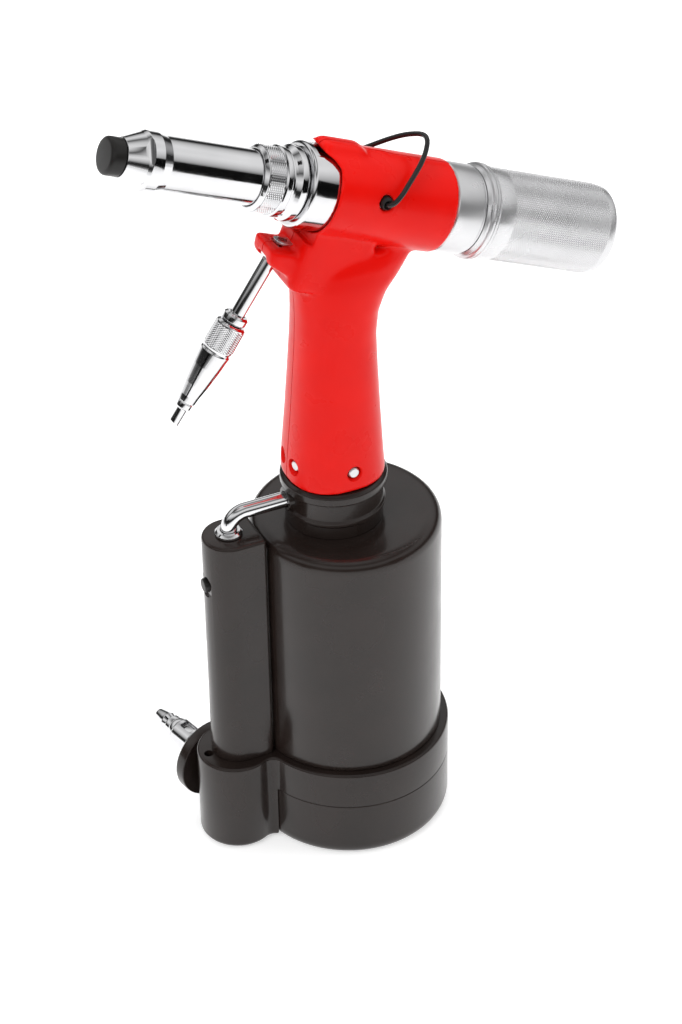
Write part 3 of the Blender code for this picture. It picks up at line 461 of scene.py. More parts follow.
class Sheet:
    """A material under construction: its nodes and its surface shader."""

    def __init__(self, name: str) -> None:
        self.material = bpy.data.materials.new(name)
        self.material.use_nodes = True
        self.nodes = self.material.node_tree.nodes
        self.links = self.material.node_tree.links
        self.shader = self.nodes["Principled BSDF"]
        self.spot = self.nodes.new("ShaderNodeTexCoord").outputs["Object"]

    def node(self, kind: str, **values: object) -> bpy.types.Node:
        """Add a node and set its sockets by name, with spaces for underscores."""
        node = self.nodes.new("ShaderNode" + kind)
        for key, value in values.items():
            node.inputs[key.replace("_", " ")].default_value = value
        return node

    def set(self, **values: object) -> None:
        """Set the shader's own sockets by name, with spaces for underscores."""
        for key, value in values.items():
            self.shader.inputs[key.replace("_", " ")].default_value = value

    def noise(self, scale: float, detail: float = 2.0, stretch: Point = (1, 1, 1),
              turn: Point = (0, 0, 0)) -> bpy.types.NodeSocket:
        """Fine noise over the object.

        Args:
            scale: how many grains there are to a metre.
            detail: how many octaves.
            stretch: scale factors along the turned axes.
            turn: the axes' turn in radians.

        Returns:
            The noise's value socket.
        """
        mapping = self.node("Mapping", Rotation=turn, Scale=[1.0 / factor for factor in stretch])
        mapping.vector_type = "TEXTURE"
        grain = self.node("TexNoise", Scale=scale, Detail=detail)
        self.links.new(self.spot, mapping.inputs["Vector"])
        self.links.new(mapping.outputs["Vector"], grain.inputs["Vector"])
        return grain.outputs["Fac"]

    def span(self, value: bpy.types.NodeSocket, low: float, high: float, socket: str,
             start: float = 0.3, end: float = 0.7) -> None:
        """Let a value move one shader socket between two levels."""
        ramp = self.node("MapRange", From_Min=start, From_Max=end, To_Min=low, To_Max=high)
        self.links.new(value, ramp.inputs["Value"])
        self.links.new(ramp.outputs["Result"], self.shader.inputs[socket])

    def tint(self, value: bpy.types.NodeSocket, dark: Point, pale: Point) -> None:
        """Let a value move the base colour between two tones."""
        ramp = self.node("ValToRGB")
        for stop, position, tone in zip(ramp.color_ramp.elements, (0.3, 0.7), (dark, pale)):
            stop.position = position
            stop.color = (*tone, 1.0)
        self.links.new(value, ramp.inputs["Fac"])
        self.links.new(ramp.outputs["Color"], self.shader.inputs["Base Color"])

    def relief(self, value: bpy.types.NodeSocket, depth: float, strength: float = 1.0) -> None:
        """Raise the surface with a value, by a depth in millimetres."""
        bump = self.node("Bump", Strength=strength, Distance=depth * MM)
        self.links.new(value, bump.inputs["Height"])
        self.links.new(bump.outputs["Normal"], self.shader.inputs["Normal"])


@dataclass(frozen=True)
class Finish:
    """One finish of the tool, dressed on pieces that share a material slot."""

    name: str
    slot: str
    dark: Point
    pale: Point
    rough: tuple[float, float]
    metallic: float = 0.0
    coat: float = 0.0
    grain: float = 900.0
    depth: float = 0.0
    smudge: float = 45.0
    stretch: Point = (1, 1, 1)
    turn: Point = (0, 0, 0)
    strength: float = 0.5
    gloss: float = 0.5

    def make(self) -> bpy.types.Material:
        """Build the finish's material."""
        sheet = Sheet(self.name)
        sheet.set(Metallic=self.metallic, Coat_Weight=self.coat, Coat_Roughness=0.06,
                  Specular_IOR_Level=self.gloss)
        sheet.tint(sheet.noise(self.smudge, 3.0), self.dark, self.pale)
        sheet.span(sheet.noise(self.smudge * 1.7, 4.0), *self.rough, "Roughness")
        if self.depth > 0:
            sheet.relief(sheet.noise(self.grain, 2.0, self.stretch, self.turn), self.depth, self.strength)
        return sheet.material

    def dress(self, *pieces: Piece) -> None:
        """Give pieces this finish."""
        material = bpy.data.materials.get(self.name) or self.make()
        for piece in pieces:
            piece.data.materials.clear()
            piece.data.materials.append(material)


HEAD_TURN = (0.0, PLACES.tilt, 0.0)
CASTING = Finish("black_casting", "casting", (0.014, 0.0095, 0.008), (0.020, 0.0135, 0.0115), (0.19, 0.27),
                 coat=0.18, gloss=0.3, grain=480.0, depth=0.03, strength=0.35)
MOULDED = Finish("red_moulding", "red_plastic", (0.70, 0.0035, 0.0015), (0.76, 0.005, 0.002), (0.26, 0.34),
                 coat=0.03, gloss=0.14, grain=1500.0, depth=0.012, strength=0.3)
MIRROR = Finish("mirror_chrome", "chrome", (0.66, 0.66, 0.67), (0.72, 0.72, 0.73), (0.06, 0.12),
                metallic=1.0, smudge=60.0)
TURNED = Finish("turned_aluminium", "satin_aluminium", (0.64, 0.64, 0.65), (0.72, 0.72, 0.73), (0.26, 0.34),
                metallic=0.85, grain=240.0, depth=0.02, stretch=(30, 1, 1), turn=HEAD_TURN, strength=0.35)
KNURLED = Finish("knurled_aluminium", "satin_aluminium", (0.64, 0.64, 0.65), (0.70, 0.70, 0.71),
                 (0.22, 0.30), metallic=0.75)
BRIGHT = Finish("bright_steel", "steel", (0.55, 0.55, 0.56), (0.64, 0.64, 0.65), (0.22, 0.34), metallic=1.0,
                grain=2600.0, depth=0.01)
SOFT = Finish("black_rubber", "rubber", (0.008, 0.0075, 0.007), (0.012, 0.011, 0.0105), (0.32, 0.42),
              gloss=0.3, grain=2200.0, depth=0.02)
WIRE = Finish("black_wire_coat", "black_wire", (0.008, 0.008, 0.008), (0.013, 0.013, 0.013), (0.22, 0.32),
              coat=0.15, gloss=0.3)
FINISHES = {finish.slot: finish for finish in (CASTING, MOULDED, MIRROR, BRIGHT, TURNED, SOFT, WIRE)}


def shown(piece: Piece, finish: Finish, body: str, *nodes: str) -> Piece:
    """Dress a finished piece, put it on its body and let it stand for its CAD nodes."""
    finish.dress(piece)
    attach(piece, body)
    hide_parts(*nodes)
    LOG.info("%s: %d faces", piece.name, len(piece.data.polygons))
    return piece


# ---------------------------------------------------------------- base and air cylinder

@dataclass
class Base:
    """The bottom cap and the base housing with its side block, in millimetres."""

    radius: float = 47.0
    cap_height: float = 29.9
    top: float = 48.8
    bore: float = PISTON_BORE
    block_radius: float = 18.0
    fillet: float = 5.0
    rim: float = 1.5
    exhaust: float = 2.2
    exhaust_x: float = -71.2

    def build(self) -> None:
        """Build and dress the cap and the housing."""
        self.cap()
        self.housing()

    def cap(self) -> None:
        """Turn the round bottom cap, with the dish of its foot."""
        r = self.radius
        outline = [(0, 0), (17, 0, 0.5), (18, 1.5, 0.5), (30, 1.5, 0.5), (31, 0, 0.6), (r, 0, 6.5),
                   (r, self.cap_height, 0.7), (r - 8.1, self.cap_height), (r - 8.1, 36.9), (r - 14, 36.9),
                   (r - 16, 9), (0, 9)]
        piece = turned("bottom_cap_skin", outline, PLACES.upright(), FINE, closed=False, count=8)
        shown(piece, CASTING, "tool_body", "bottom_cap")

    def outline(self) -> list[Point]:
        """The housing's plan: the ring and the side block, blended by concave fillets."""
        middle = PLACES.block_x / MM
        small = self.block_radius + self.fillet
        large = self.radius + self.fillet
        reach = -middle
        along = (large ** 2 - small ** 2 + reach ** 2) / (2 * reach)
        side = math.sqrt(large ** 2 - along ** 2)
        turn_ring = math.degrees(math.atan2(side, along))
        turn_block = math.degrees(math.atan2(side, reach - along))
        ring = arc((0, 0), self.radius, turn_ring - 180, 180 - turn_ring, 120)
        upper = arc((-along, side), self.fillet, -turn_ring, turn_block - 180, 8)
        block = arc((middle, 0), self.block_radius, turn_block, 360 - turn_block, 56)
        lower = arc((-along, -side), self.fillet, 180 - turn_block, turn_ring, 8)
        return ring + upper[1:-1] + block + lower[1:-1]

    def housing(self) -> None:
        """Raise the housing from its plan and cut its bores."""
        piece = plate("base_housing_skin", self.outline(), 0.6, self.top, PLACES.upright(), self.rim, 3.0)
        room = rod("cap_room", self.radius + 0.5, -5, 30.15, PLACES.upright(), FINE)
        bore = rod("base_bore", self.bore, -6, self.top + 5, PLACES.upright(), ROUND)
        valve = rod("valve_bore", VALVE_BORE, 12, self.top + 5, PLACES.upright(PLACES.valve_x))
        vent = rod("vent_hole", self.exhaust, self.top - 9, self.top + 3,
                   PLACES.upright(self.exhaust_x * MM), 40)
        inlet = rod("inlet_bore", 5.0, 0, 40, PLACES.inlet())
        seat = box("inlet_seat", (-30, -30, 16.5), (30, 30, 40), PLACES.inlet())
        combine(piece, Cut.AWAY, room, bore, valve, vent, inlet, seat)
        smooth(piece, CUT_EDGE)
        shown(piece, CASTING, "tool_body", "base_housing")


@dataclass
class Inlet:
    """The air inlet's flange, swivel body and plug."""

    disc: float = 19.0

    def build(self) -> None:
        """Build and dress the three pieces."""
        place = PLACES.inlet()
        flange = turned("inlet_flange_skin",
                        [(2.6, 11.8), (4.7, 11.8), (4.7, 16.8), (self.disc, 16.8, 0.6),
                         (self.disc, 22.8, 1.6), (9, 22.8, 1.0), (9, 25.3, 0.6), (5, 25.3), (5, 19.8),
                         (2.6, 19.8)], place)
        shown(flange, CASTING, "tool_body", "inlet_flange")
        swivel = turned("inlet_swivel_skin",
                        [(2.6, 20.1), (4.7, 20.1), (4.7, 25.6), (7.6, 25.6, 0.3), (8.2, 26.6, 0.3),
                         (8.2, 30.6, 0.5), (6.9, 32.1, 0.4), (6.9, 42.8, 0.4), (6.2, 43.8), (6.2, 45.8),
                         (5.6, 46.8, 0.3), (3.3, 46.8), (3.3, 40.8), (2.6, 40.8)], place)
        window = box("swivel_window", (4.6, -2.2, 33.6), (9, 2.2, 41.0), place, 0.6)
        combine(swivel, Cut.AWAY, window)
        shown(smooth(swivel), MIRROR, "inlet_plug", "inlet_swivel")
        plug = turned("inlet_plug_skin",
                      [(1.6, 41.3), (3, 41.3), (3, 47.1), (5.2, 47.1, 0.3), (5.2, 49.8, 0.4), (3.9, 51, 0.3),
                       (4.6, 53.3, 0.6), (4.2, 54.8, 0.5), (2.9, 60.8, 0.8), (1.6, 60.8)], place, SMALL)
        shown(plug, MIRROR, "inlet_plug", "inlet_nipple")


@dataclass
class AirCylinder:
    """The air cylinder with the valve housing cast beside it."""

    radius: float = 43.4
    bore: float = PISTON_BORE
    foot: float = 49.1
    top: float = 167.5
    edge: float = 6.5
    housing_top: float = 171.0
    half_width: float = 12.3
    end: float = -43.5

    def build(self) -> None:
        """Build and dress the cylinder, its button, tube and ferrule."""
        self.body()
        self.trim()

    def stadium(self) -> Piece:
        """The valve housing: round outside, square towards the cylinder."""
        middle = PLACES.valve_x / MM
        half = self.half_width
        corners = [(middle, -half), (self.end, -half, 1.6), (self.end, half, 1.6), (middle, half)]
        outline = arc((middle, 0), half, 90, 270, 32) + rounded(corners)[1:-1]
        return plate("valve_housing_wall", outline, self.foot, self.housing_top, PLACES.upright(), 1.5)

    def body(self) -> None:
        """Turn the cylinder, join the valve housing and cut the bores."""
        outline = [(0, self.top - 7), (self.bore, self.top - 7), (self.bore, self.foot),
                   (self.radius, self.foot, 0.5), (self.radius, self.top, self.edge), (0, self.top)]
        piece = turned("air_cylinder_skin", outline, PLACES.upright(), FINE, closed=False, count=10)
        bridge = box("housing_bridge", (-48, -9.2, self.foot + 0.5), (-40, 9.2, self.top - 3.4),
                     PLACES.upright(), 0.8)
        combine(piece, Cut.ON, bridge, self.stadium())
        place = PLACES.upright(PLACES.valve_x)
        valve = rod("valve_room", VALVE_BORE, 40, 154, place)
        passage = rod("valve_passage", 4.2, 150, 180, place)
        neck = rod("neck_hole", 12.3, 150, 180, PLACES.upright(PLACES.neck_x), SMALL)
        button = placed(Vector((PLACES.valve_x, 0, 146.5 * MM)), -X_AXIS, Z_AXIS)
        bore = rod("button_bore", 3.6, 0, 20, button)
        spot = turned("button_spot", [(0, 11.3), (5.6, 11.3, 0.5), (6.6, 14), (0, 14)], button, closed=False)
        combine(piece, Cut.AWAY, valve, passage, neck, bore, spot)
        smooth(piece, CUT_EDGE)
        shown(piece, CASTING, "tool_body", "air_cylinder")
        knob = turned("side_button_skin", [(0, 5.5), (3.3, 5.5), (3.3, 13.4, 0.9), (0, 13.4)], button, TINY,
                      closed=False)
        shown(knob, SOFT, "button", "side_button")

    def trim(self) -> None:
        """Bend the transfer tube and turn its ferrule."""
        bend = arc((-48.5, 173.3), 8.0, 90, 180, 18)
        route = [Vector((-21.5, 0, 181.3)), Vector((-35, 0, 181.3))]
        route += [Vector((x, 0, z)) for x, z in bend] + [Vector((-56.5, 0, 165))]
        tube = wire("transfer_tube_skin", route, 3.6, 40)
        shown(tube, MIRROR, "tool_body", "transfer_tube")
        ferrule = turned("tube_ferrule_skin",
                         [(3.9, 171.3), (6.2, 171.3, 0.3), (6.2, 172.5, 0.3), (5.2, 173.5, 0.3),
                          (3.9, 173.5)],
                         PLACES.upright(PLACES.valve_x), SMALL)
        shown(ferrule, MIRROR, "tool_body", "tube_ferrule")


def wire(name: str, route: Sequence[Vector], radius: float, sides: int) -> Piece:
    """Sweep a round section along a route by extruding and turning its end ring.

    Args:
        name: the new object's name.
        route: points in millimetres.
        radius: the section's radius.
        sides: how many sides the section has.

    Returns:
        The finished piece, capped at both ends.
    """
    heading = (route[1] - route[0]).normalized()
    bpy.ops.object.select_all(action="DESELECT")
    bpy.ops.mesh.primitive_circle_add(vertices=sides, radius=radius * MM, fill_type="NGON",
                                      location=route[0] * MM,
                                      rotation=heading.to_track_quat("Z", "Y").to_euler())
    obj = bpy.context.object
    obj.name = name
    bpy.ops.object.transform_apply(location=True, rotation=True, scale=True)
    edit(obj, "FACE")
    for index, (before, after) in enumerate(zip(route, route[1:])):
        last = index + 2 == len(route)
        ahead = heading if last else (route[index + 2] - after).normalized()
        target = ((after - before).normalized() + ahead).normalized()
        bpy.ops.mesh.extrude_region_move(TRANSFORM_OT_translate={"value": (after - before) * MM})
        angle = heading.angle(target)
        if angle > STRAIGHT and not last:
            ends = bmesh.from_edit_mesh(obj.data)
            bmesh.ops.rotate(ends, verts=[vertex for vertex in ends.verts if vertex.select],
                             cent=after * MM, matrix=heading.rotation_difference(target).to_matrix())
            bmesh.update_edit_mesh(obj.data)
            heading = target
    close_up()
    return smooth(obj, 40.0)


# ---------------------------------------------------------------- neck

@dataclass
class Neck:
    """The black housing between the air cylinder and the handle."""

    port_height: float = 181.3

    def build(self) -> None:
        """Turn the neck with its collar and its side port."""
        outline = [(7.4, 156.8), (12, 156.8), (12, 167.8), (22, 167.8), (21.2, 173.3, 0.6), (23, 174.8, 0.5),
                   (23, 176.3, 0.5), (22, 177.3, 0.6), (22, 185.7, 0.8), (24, 186.6, 1.2), (24, 190.4, 1.2),
                   (22.5, 191.7, 0.3), (18.4, 191.7), (18.4, 206), (10.3, 206), (10.3, 183.3), (9, 183.3),
                   (9, 177.3), (7.4, 177.3)]
        piece = turned("neck_housing_skin", outline, PLACES.upright(PLACES.neck_x), ROUND)
        origin = Vector((PLACES.neck_x, 0, self.port_height * MM))
        port = placed(origin, -X_AXIS, Z_AXIS)
        combine(piece, Cut.ON, rod("port_boss", 5.6, 16, 23.8, port, TINY, 0.6))
        combine(piece, Cut.AWAY, rod("port_bore", 3.9, 15.6, 40, port))
        smooth(piece, CUT_EDGE)
        shown(piece, CASTING, "tool_body", "neck_housing")


# ---------------------------------------------------------------- head

@dataclass
class Head:
    """The chromed head: front collar, lock nut, nose barrel and nose cap."""

    front: float = -18.6
    nut: float = -38.9

    def build(self) -> None:
        """Build and dress the head's pieces."""
        self.cylinder()
        self.barrel()
        self.lock_nut()
        self.nose_cap()

    def cylinder(self) -> None:
        """Turn the head cylinder and cut its flat, pocket and port."""
        place = PLACES.head()
        outline = [(6.3, -12.6), (10.3, -12.6), (10.3, self.front), (18.3, self.front, 1.6), (18.3, 1.7),
                   (17.2, 1.7), (17.2, 51.2), (15.4, 51.2), (15.4, -1), (6.3, -1)]
        piece = turned("head_cylinder_skin", outline, place, FINE, count=8)
        flat = box("collar_flat", (16.6, -12, -15.5), (25, 12, 0.5), place, 1.5)
        corners = [(-13.0, -3.2, 1.2), (-3.0, -3.2, 1.2), (-3.0, 3.2, 1.2), (-13.0, 3.2, 1.2)]
        sunk = placed(PLACES.in_head(0, 14.9), PLACES.up, PLACES.along)
        pocket = plate("collar_pocket", rounded(corners, True), 0, 12, sunk)
        port = rod("oil_port", 7.0, 306.3, 319.5, PLACES.upright(PLACES.neck_x))
        combine(piece, Cut.AWAY, flat, pocket, port)
        smooth(piece, CUT_EDGE)
        shown(piece, MIRROR, "tool_body", "head_cylinder")

    def barrel(self) -> None:
        """Turn the nose barrel and cut its wrench flats."""
        place = PLACES.head()
        outline = [(4.9, -87.9), (4.9, -99.4), (8.3, -99.4, 0.4), (11.6, -91.4, 1.2), (12.6, -89.9, 0.8),
                   (12.6, -84.9, 0.8), (11.75, -80.9, 1.2), (11.75, -18.9), (10, -18.9), (10, -12.9),
                   (9.3, -12.9), (9.3, -86.9), (6, -87.9)]
        piece = turned("nose_housing_skin", outline, place, ROUND)
        for quarter in range(4):
            turn = Matrix.Rotation(math.radians(45 + 90 * quarter), 4, "Z")
            flat = box("wrench_flat", (10.9, -15, -105), (20, 15, -89.2), place @ turn, 1.5)
            combine(piece, Cut.AWAY, flat)
        smooth(piece, 24.0)
        shown(piece, MIRROR, "tool_body", "nose_housing")

    def lock_nut(self) -> None:
        """Turn the lock nut around its knurled band."""
        place = PLACES.head()
        low = self.nut
        lip = turned("nut_lip",
                     [(12.05, low, 0.2), (12.6, low, 0.3), (13.9, low + 1.3, 0.4), (13.9, low + 1.9, 0.2),
                      (12.05, low + 1.9)], place, ROUND)
        band = knurled("nut_band", 14.3, low + 1.9, low + 9.4, 12.05, 0.95, 0.25, place)
        ring = turned("nut_ring",
                      [(12.05, low + 9.4), (14.2, low + 9.4, 0.3), (14.9, low + 10.0, 0.3),
                       (14.9, low + 12.2, 0.3), (14.2, low + 12.7, 0.2), (14.2, low + 13.6, 0.2),
                       (14.6, low + 14.4, 0.4), (16.0, low + 16.0, 0.5), (16.0, low + 18.8, 0.5),
                       (15.0, low + 20.0, 0.2), (12.05, low + 20.0)], place, ROUND)
        shown(merged("lock_nut_skin", lip, band, ring), MIRROR, "tool_body", "lock_nut")

    def nose_cap(self) -> None:
        """Turn the rubber nose cap."""
        outline = [(0, -106.2), (8.0, -106.2, 1.8), (8.0, -99.7, 0.3), (6.4, -99.7), (6.4, -104.3),
                   (0, -104.3)]
        piece = turned("nose_cap_skin", outline, PLACES.head(), SMALL, closed=False)
        shown(piece, SOFT, "nose_cap_body", "nose_cap")


@dataclass
class Rear:
    """The satin rear end: gland, flange ring and mandrel collector."""

    pitch: float = 0.95

    def build(self) -> None:
        """Build and dress the rear pieces."""
        place = PLACES.head()
        gland = turned("rear_gland_skin",
                       [(15.1, 45.8), (15.1, 51.5), (18.6, 51.5), (19.4, 52.3, 0.5), (19.4, 64.9, 0.5),
                        (18.6, 65.7, 0.2), (18.6, 66.5), (4.8, 66.5), (4.8, 45.8)], place, FINE)
        shown(gland, TURNED, "tool_body", "rear_gland")
        ring = turned("collector_ring_skin",
                      [(4.8, 66.8), (18.9, 66.8), (19.7, 68, 0.3), (19.7, 69, 0.1), (20.5, 69.2, 0.1),
                       (20.9, 69.8, 0.3), (20.9, 70.7, 0.1), (20.6, 70.9), (20.9, 71.1, 0.1),
                       (20.9, 72, 0.4), (20.3, 72.6), (16.9, 72.6), (16.9, 79.1), (4.8, 79.1)], place, FINE)
        shown(ring, TURNED, "tool_body", "collector_ring")
        band = turned("collector_band", [(17.2, 72.9), (20, 72.9, 0.4), (20, 80.8, 0.2), (17.0, 80.8)],
                      place, FINE)
        grip = knurled("collector_grip", 19.85, 80.8, 131.2, 17.0, self.pitch, 0.2, place)
        end = turned("collector_end", [(0, 132.4), (16.9, 132.4), (16.9, 131.2), (19.55, 131.2, 0.2),
                                       (19.4, 135.5, 4.2), (0, 135.5)], place, FINE, closed=False, count=10)
        piece = merged("mandrel_collector_skin", band, grip, end)
        shown(piece, KNURLED, "collector", "mandrel_collector")


# ---------------------------------------------------------------- handle

@dataclass
class Handle:
    """The two moulded shells: grip, trigger boss, neck and barrel, in millimetres."""

    wall: float = 2.8
    power: float = 2.35
    barrel: float = 20.1
    front: float = -6.5
    rear: float = 51.2
    split: float = 0.3
    coarse: float = 0.9
    fine: float = 0.5
    released: float = 1.5
    pulled: float = 13.5
    grip: Sequence[Point] = ((192, -28.3, 16.7, 22.5), (204, -27.5, 15.9, 21.8), (224, -25.7, 14.9, 20.5),
                             (247, -23.9, 13.9, 19.3), (264, -22.7, 13.5, 18.4), (275, -22.3, 14.9, 18.0),
                             (284, -22.5, 19, 17.6), (291, -23, 25.5, 17), (298, -23, 31, 15.5),
                             (304, -21, 31, 13))

    def build(self) -> None:
        """Model the shells as one body, then part it into its two halves."""
        body = self.blended()
        combine(body, Cut.AWAY, *self.rooms())
        resculpt(body, self.fine, 12)
        combine(body, Cut.AWAY, *self.screw_holes())
        for side in Side:
            self.half(body, side)
        bpy.data.objects.remove(body)

    def loft(self, name: str, sections: Sequence[Point], thickness: float) -> Piece:
        """Raise a rounded section through the grip's heights by extruding and scaling its ring."""
        height, front, rear, half = sections[0]
        reach = (rear - front) / 2 - thickness
        middle = (rear + front) / 2
        ring = []
        for step in range(72):
            turn = TURN * step / 72
            x = math.copysign(abs(math.cos(turn)) ** (2 / self.power), math.cos(turn))
            y = math.copysign(abs(math.sin(turn)) ** (2 / self.power), math.sin(turn))
            ring.append((middle + reach * x, (half - thickness) * y, height))
        obj = thread(name, ring, closed=True)
        edit(obj, "EDGE")
        bpy.ops.mesh.edge_face_add()
        bpy.ops.mesh.select_mode(type="FACE")
        pick()
        for (z0, f0, r0, h0), (z1, f1, r1, h1) in zip(sections, sections[1:]):
            shift = Vector(((f1 + r1 - f0 - r0) / 2, 0, z1 - z0)) * MM
            grow_x = (r1 - f1 - 2 * thickness) / (r0 - f0 - 2 * thickness)
            grow_y = (h1 - thickness) / (h0 - thickness)
            bpy.ops.mesh.extrude_region_move(TRANSFORM_OT_translate={"value": shift})
            centre = Vector(((f1 + r1) / 2, 0, z1)) * MM
            bpy.ops.transform.resize(value=(grow_x, grow_y, 1), center_override=centre)
        close_up()
        return obj

    def solids(self, name: str) -> Piece:
        """The shapes that the moulding runs together, as one overlapping mesh."""
        place = PLACES.head()
        across = PLACES.across()
        grip = self.loft(name, self.grip, 0.0)
        barrel = rod("barrel_core", self.barrel, -13.5, self.rear + 4, place, ROUND)
        neck = box("neck_core", (-44, -13.2, -9.5), (-14, 13.2, 24), place, 3.0)
        crown = box("hood_core", (8, -6.5, -13.5), (21.9, 6.5, 8), place, 3.0)
        ramp = box("ramp_core", (8, -4.5, 6), (20.6, 4.5, 22), place, 3.0)
        front_top = self.side_view(-22.0, -27.0)
        front_low = self.side_view(-20.8, -34.5)
        outline = [front_top, front_low, (-22.5, -295.0), (-9.0, -288.0), (0.0, -294.0),
                   self.side_view(6.0, -27.0)]
        boss = plate("boss_core", outline[::-1], -10.2, 10.2, across, 2.0, 2.0)
        return merged(name, grip, barrel, neck, crown, ramp, boss)

    def side_view(self, s: float, r: float) -> Point:
        """A head-frame point in the across placement's plane."""
        spot = PLACES.in_head(s, r) / MM
        return (spot.x, -spot.z)

    def blended(self) -> Piece:
        """Melt the shapes together so that their corners turn into soft fillets."""
        return resculpt(self.solids("handle_body"), self.coarse, 16)

    def rooms(self) -> list[Piece]:
        """The hollows inside the shells and the visor's cut."""
        place = PLACES.head()
        across = PLACES.across()
        visor = [(self.front, -21), (self.front, 14.5), (-9, 16.8), (-13.5, 18.6), (-24, 19.2), (-24, -21)]
        outline = [self.side_view(s, r) for s, r in visor]
        front = plate("visor_cut", outline, -30, 30, across)
        slot = plate("lever_room", self.lever_room(), -4.1, 4.1, across)
        hinge = placed(PLACES.pivot, Y_AXIS, X_AXIS)
        axle = rod("pivot_room", 2.1, -9, 9, hinge)
        back = box("rear_cut", (-40, -40, self.rear), (40, 40, 80), place)
        bore = rod("barrel_room", 17.5, -30, 70, place, ROUND)
        collar = rod("collar_room", 18.6, -30, 2.0, place, ROUND)
        tube = rod("tube_room", 10.4, 230, 306.15, PLACES.upright(PLACES.neck_x), SMALL)
        stub = rod("stub_room", 7.4, 300, 325, PLACES.upright(PLACES.neck_x), SMALL)
        inside = [(189.0, *self.grip[0][1:])] + list(self.grip[1:6])
        cavity = self.loft("grip_room", inside, self.wall)
        ears = []
        for side in Side:
            spot = PLACES.in_head(16.0, 5.4)
            ear = placed(spot, Y_AXIS * side.value, Z_AXIS)
            ears.append(rod("ear_room", 3.2, 15, 24, ear))
        foot = box("foot_cut", (-60, -60, 150), (60, 60, 192), PLACES.upright())
        return [front, slot, axle, back, bore, collar, tube, stub, cavity, foot, *ears]

    def lever_room(self) -> list[Point]:
        """Side view of the room that the lever needs between its two limits."""
        lean = math.degrees(PLACES.lean)
        first = math.radians(lean + self.released)
        last = math.radians(lean - self.pulled)
        middle = (PLACES.pivot.x / MM, PLACES.pivot.z / MM)
        room = 5.0
        reach = 40.0
        points = arc(middle, room, -math.degrees(last), 180 - math.degrees(first), 14)
        for turn, sign in ((first, -1), (last, 1)):
            x = middle[0] - reach * math.sin(turn) + sign * room * math.cos(turn)
            z = middle[1] - reach * math.cos(turn) - sign * room * math.sin(turn)
            points.append((x, z))
        return [(x, -z) for x, z in points]

    def screw_holes(self) -> list[Piece]:
        """The shell screws' holes with their scalloped mouths."""
        tools = []
        for heading in (88.6, -88.6, 166.0, -166.0):
            turn = math.radians(heading)
            origin = Vector((PLACES.neck_x, 0, 201.5 * MM))
            place = placed(origin, Vector((math.cos(turn), math.sin(turn), 0)), Z_AXIS)
            outline = [(0, 12), (1.8, 12), (1.8, 19.1), (3.0, 19.1), (3.1, 20.6, 0.4), (5.0, 24.5),
                       (0, 24.5)]
            tools.append(turned("screw_hole", outline, place, TINY, closed=False))
        return tools

    def half(self, body: Piece, side: Side) -> None:
        """Copy one side of the body, close it at the parting line and dress it."""
        piece = body.copy()
        piece.data = body.data.copy()
        bpy.context.scene.collection.objects.link(piece)
        piece.name = f"handle_{side.name.lower()}_skin"
        edit(piece, "FACE")
        bpy.ops.mesh.bisect(plane_co=(0, side.value * self.split * MM, 0), plane_no=(0, side.value, 0),
                            use_fill=True, clear_inner=True)
        done()
        smooth(piece, 50.0)
        shown(piece, MOULDED, "tool_body", f"handle_shell_{side.name.lower()}")


# ---------------------------------------------------------------- trigger and bail

